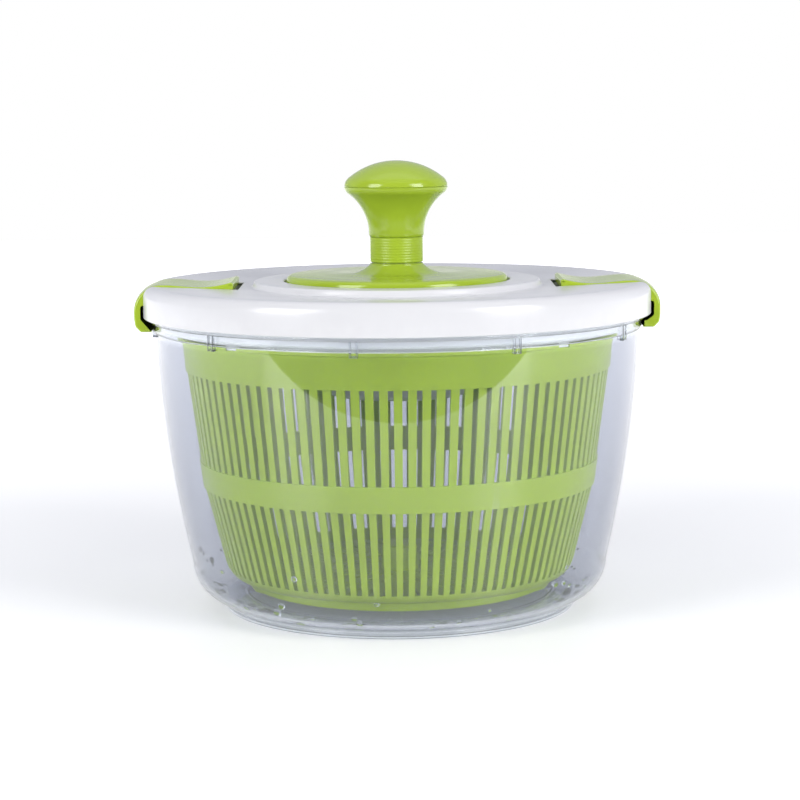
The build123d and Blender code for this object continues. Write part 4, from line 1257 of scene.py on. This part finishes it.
@dataclass
class Latch:
    """A rocker latch: raised tail, flat back, round shoulder and a hook under the bowl's rim."""

    side: Side
    outer_r: float
    low_z: float
    tail_z: float
    tail_x: float = 79.3
    width: float = 44.0
    back_z: float = 160.6
    waist_z: float = 159.5
    inner_r: float = 125.6
    toe_r: float = 121.0
    toe_top_z: float = 142.2
    under_z: float = 156.6
    pivot_x: float = 119.5
    pivot_z: float = 153.2
    bore_r: float = 1.31
    boss_r: float = 3.0
    edge_r: float = 0.9

    @classmethod
    def from_frame(cls, side: Side) -> "Latch":
        """A latch that fills its CAD node's box."""
        low, high = box_mm("latch_right")
        return cls(side=side, outer_r=high.x, low_z=low.z, tail_z=high.z)

    def profile(self) -> Array:
        """The latch's side outline, anticlockwise with x outwards and z up."""
        ramp = arc_rows((99.0, self.waist_z), (88.0, 160.0), (self.tail_x + 1.2, self.tail_z - 0.02), 12)
        shoulder = arc_rows((self.outer_r, 147.0), (self.outer_r - 3.5, 156.4), (117.0, self.back_z), 18)
        rows = [
            (self.tail_x + 0.3, self.under_z + 0.8, 0.3), (81.0, self.under_z, 0.5),
            (119.5, self.under_z, 1.0), (122.6, 153.6, 0.8), (124.0, 150.8, 0.5), (124.0, 150.0, 0.0),
            (self.inner_r, 150.0, 0.4), (self.inner_r, 144.4, 0.5), (124.4, 143.4, 0.0),
            (122.8, self.toe_top_z, 0.3), (self.toe_r, self.toe_top_z, 0.5),
            (self.toe_r, self.low_z, 0.6), (126.4, self.low_z, 1.2), (self.outer_r - 0.5, 140.6, 1.6),
            (self.outer_r, 144.0, 1.5), *shoulder, (112.0, self.back_z, 40.0), *ramp,
            (self.tail_x, self.tail_z - 0.7, 0.35)]
        return outline(rows)

    def body(self) -> Patch:
        """The swept body, whose hook bends round the lid: x' = x - w * (x - sqrt(x^2 - y^2)).

        The weight w rises smoothly from 0 at x = 100 to 1 at x = 118, so the back stays straight.
        """
        stations, insets = end_rounding(0.5 * self.width, self.edge_r, 10)
        patch = swept_block(self.profile(), stations, insets)
        x, y = patch.points[:, 0], patch.points[:, 1]
        share = np.clip((x - 100.0) / 18.0, 0.0, 1.0)
        weight = share * share * (3 - 2 * share)
        patch.points[:, 0] = x - weight * (x - np.sqrt(x * x - y * y))
        return patch

    def boss(self) -> Patch:
        """The tube that turns on the pin, along Y."""
        half = 0.5 * self.width - 0.5
        rows = [(self.bore_r, -half, 0.0), (self.boss_r, -half, 0.3), (self.boss_r, half, 0.3),
                (self.bore_r, half, 0.0)]
        lie_along_y = np.array([[1.0, 0.0, 0.0], [0.0, 0.0, -1.0], [0.0, 1.0, 0.0]])
        return revolved(outline(rows), 32).moved(lie_along_y, (self.pivot_x, 0.0, self.pivot_z))

    def web(self) -> Patch:
        """The bar that joins the boss to the latch's back."""
        half = 0.5 * self.width - 0.9
        return plain_block((self.pivot_x - 2.4, -half, self.pivot_z + 2.0),
                           (self.pivot_x + 1.6, half, self.under_z + 0.6))

    def build(self) -> None:
        """Make the latch on its side of the lid."""
        turn = turn_about_z(self.side.value)
        name = f"latch_{self.side.name.lower()}"
        patches = [part.moved(turn) for part in (self.body(), self.boss(), self.web())]
        latch = make_piece(f"green_{name}", patches, 32.0)
        fit(latch, name, APPLE_GLOSS, "green_gloss", name)


# ---------------------------------------------------------------- hidden works

@dataclass
class Works:
    """The pieces under the lid, whose CAD shape is kept and merged smooth, or only given a finish.

    Attributes:
        merged: CAD nodes shown as a merged copy with smooth round faces, with their bodies and finishes.
        kept: CAD nodes shown as they are, with their finishes.
    """

    merged: dict[str, tuple[str, Finish, str]] = field(default_factory=lambda: {
        "lid_liner": ("lid", INNER_WHITE, "white_inner"),
        "mechanism_housing": ("lid", INNER_WHITE, "white_inner"),
        "drive_plate": ("drive_plate", INNER_WHITE, "white_inner"),
        "clutch_cover": ("drive_plate", INNER_WHITE, "white_inner"),
        "basket_bush": ("basket", ACETAL, "acetal"),
        "guide_bush": ("lid", ACETAL, "acetal"),
        "spiral_rod": ("rod", GREY_NYLON, "rod_plastic"),
        "return_spring": ("plunger", SPRING_STEEL, "spring_steel"),
        "latch_pin_right": ("lid", PIN_STEEL, "pin_steel"),
        "latch_pin_left": ("lid", PIN_STEEL, "pin_steel"),
    })
    kept: dict[str, Finish] = field(default_factory=lambda: {
        "liner_screws": SCREW_STEEL, "housing_screws": SCREW_STEEL, "cover_screws": SCREW_STEEL,
        "rod_bearing": ACETAL, "drive_nut": ACETAL, "spring_cap": ACETAL, "clutch_hub": ACETAL,
        "clutch_pawls": ACETAL, "rod_clip": SPRING_STEEL, "plate_washer": SPRING_STEEL,
        "ratchet_ring": GREY_NYLON,
    })

    def merged_copy(self, node: str) -> bpy.types.Object:
        """A copy of a CAD node's triangles with shared points, smooth but for its real edges.

        Points that lie within a hundredth of a millimetre of each other become one.
        """
        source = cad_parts[node].data
        co = np.zeros(len(source.vertices) * 3, np.float32)
        source.vertices.foreach_get("co", co)
        corners = np.zeros(len(source.loops), np.int32)
        source.loops.foreach_get("vertex_index", corners)
        keys = np.round(co.reshape(-1, 3) / (0.01 * MM)).astype(np.int64)
        _, first, renumbered = np.unique(keys, axis=0, return_index=True, return_inverse=True)
        triangles = renumbered.ravel()[corners].reshape(-1, 3)
        whole = ((triangles[:, 0] != triangles[:, 1]) & (triangles[:, 1] != triangles[:, 2])
                 & (triangles[:, 2] != triangles[:, 0]))
        return make_piece(f"smooth_{node}", [Patch(co.reshape(-1, 3)[first] / MM, [triangles[whole]])], 30.0)

    def build(self) -> None:
        """Show and dress every hidden piece."""
        for node, (body, finish, slot) in self.merged.items():
            fit(self.merged_copy(node), body, finish, slot, node)
        for node, finish in self.kept.items():
            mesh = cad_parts[node].data
            mesh.materials.clear()
            mesh.materials.append(finish.material())
            log.info("%s: CAD shape kept, %s", node, finish.name)


# ---------------------------------------------------------------- studio

@dataclass(frozen=True)
class SoftBox:
    """A square or oblong studio lamp that faces a point over the object.

    Attributes:
        name: The lamp's name.
        azimuth: Degrees round from the camera's side, positive to the right.
        elevation: Degrees above the horizon.
        distance: Metres from the point it faces.
        size: Width and height in metres.
        watts: Its power.
    """

    name: str
    azimuth: float
    elevation: float
    distance: float
    size: tuple[float, float]
    watts: float

    def build(self, aim: Vector) -> None:
        """Hang the lamp."""
        lamp = bpy.data.lights.new(self.name, "AREA")
        lamp.shape = "RECTANGLE"
        lamp.size, lamp.size_y = self.size
        lamp.energy = self.watts
        turn, lift = math.radians(self.azimuth), math.radians(self.elevation)
        away = Vector((math.sin(turn) * math.cos(lift), -math.cos(turn) * math.cos(lift), math.sin(lift)))
        holder = bpy.data.objects.new(self.name, lamp)
        holder.location = aim + away * self.distance
        holder.rotation_euler = (-away).to_track_quat("-Z", "Y").to_euler()
        bpy.context.scene.collection.objects.link(holder)


@dataclass
class Studio:
    """Camera, lamps, pale surroundings and floor."""

    camera_place: tuple[float, float, float] = (0.0009, -1.1067, 0.24825)
    camera_pitch_deg: float = -7.597
    camera_roll_deg: float = -0.6
    lens_mm: float = 101.07
    sensor_mm: float = 36.0
    table_low: tuple[float, float] = (-3.0, -0.42)
    table_high: tuple[float, float] = (3.0, 3.0)
    backdrop: RGB = (1.0, 1.0, 1.0)
    sky: RGB = (0.56, 0.575, 0.65)
    beyond: RGB = (0.60, 0.62, 0.66)
    room: RGB = (0.07, 0.075, 0.085)
    boxes: tuple[SoftBox, ...] = (
        SoftBox("overhead", 0.0, 84.0, 1.6, (1.8, 1.8), 5.5),
        SoftBox("side_left", -50.0, 20.0, 1.5, (0.66, 1.0), 16.0),
        SoftBox("side_right", 50.0, 20.0, 1.5, (0.66, 1.0), 18.0),
    )

    def build_camera(self) -> None:
        """A long lens at table height, looking slightly down."""
        data = bpy.data.cameras.new("camera")
        data.lens, data.sensor_width = self.lens_mm, self.sensor_mm
        camera = bpy.data.objects.new("camera", data)
        level = Matrix.Rotation(math.radians(90 + self.camera_pitch_deg), 4, "X")
        roll = Matrix.Rotation(math.radians(self.camera_roll_deg), 4, "Z")
        camera.matrix_world = Matrix.Translation(self.camera_place) @ level @ roll
        bpy.context.scene.collection.objects.link(camera)
        bpy.context.scene.camera = camera

    def build_surroundings(self) -> None:
        """A white backdrop behind the object in a dim room, which is seen only in reflections."""
        world = bpy.data.worlds.new("surroundings")
        world.use_nodes = True
        graph = Graph(world.node_tree)
        direction = graph.add("ShaderNodeSeparateXYZ")
        graph.join(graph.add("ShaderNodeTexCoord").outputs["Generated"], direction.inputs[0])
        side, depth, height = (direction.outputs[axis] for axis in "XYZ")
        behind = graph.spread(depth, 0.0, 0.25, 0.0, 1.0)
        narrow = graph.spread(graph.math("ABSOLUTE", side), 0.3, 0.5, 1.0, 0.0)
        low = graph.spread(height, 0.045, 0.07, 1.0, 0.0)
        board = graph.math("MULTIPLY", graph.math("MULTIPLY", behind, narrow), low)
        walls = graph.blend(behind, (*self.room, 1.0), (*self.sky, 1.0))
        white = (*self.backdrop, 1.0)
        seen = graph.add("ShaderNodeLightPath").outputs
        mirrored = graph.blend(board, walls, white)
        through = graph.blend(board, (*self.beyond, 1.0), white)
        bent = graph.blend(seen["Is Transmission Ray"], mirrored, through)
        background = world.node_tree.nodes["Background"]
        graph.join(graph.blend(seen["Is Camera Ray"], bent, white), background.inputs["Color"])
        bpy.context.scene.world = world

    def build_floor(self) -> None:
        """A wide satin white table that glows a little, more so far from the object."""
        (x0, y0), (x1, y1) = self.table_low, self.table_high
        points = np.array([[x0, y0, 0.0], [x1, y0, 0.0], [x1, y1, 0.0], [x0, y1, 0.0]]) / MM
        floor = make_piece("floor", [Patch(points, [np.array([[0, 1, 2, 3]])])])
        material = bpy.data.materials.new("pale_floor")
        material.use_nodes = True
        graph = Graph(material.node_tree)
        shader = material.node_tree.nodes["Principled BSDF"]
        shader.inputs["Base Color"].default_value = (0.94, 0.94, 0.945, 1.0)
        shader.inputs["Roughness"].default_value = 0.35
        shader.inputs["Emission Color"].default_value = (1.0, 1.0, 1.0, 1.0)
        away = graph.add("ShaderNodeVectorMath", operation="LENGTH")
        graph.join(graph.add("ShaderNodeTexCoord").outputs["Object"], away.inputs[0])
        glow = graph.spread(away.outputs["Value"], 0.2, 1.4, 0.22, 1.0)
        graph.join(glow, shader.inputs["Emission Strength"])
        floor.data.materials.append(material)

    def build(self) -> None:
        """Set the studio up."""
        self.build_camera()
        self.build_surroundings()
        self.build_floor()
        for lamp in self.boxes:
            lamp.build(Vector((0.0, 0.0, 0.11)))
        bpy.context.scene.view_settings.view_transform = "Standard"


def main() -> None:
    """Build every sub-assembly in order, then the studio."""
    logging.basicConfig(level=logging.INFO, format="%(name)s: %(message)s")
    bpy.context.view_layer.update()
    bowl = Bowl.from_frame()
    bowl.build()
    bowl.build_foot()
    WaterDrops(bowl).build()
    Basket.from_frame().build()
    Lid.from_frame().build()
    DriveCover.from_frame().build()
    Plunger.from_frame().build()
    for side in Side:
        Latch.from_frame(side).build()
    Works().build()
    Studio().build()


if __name__ == "__main__":
    main()
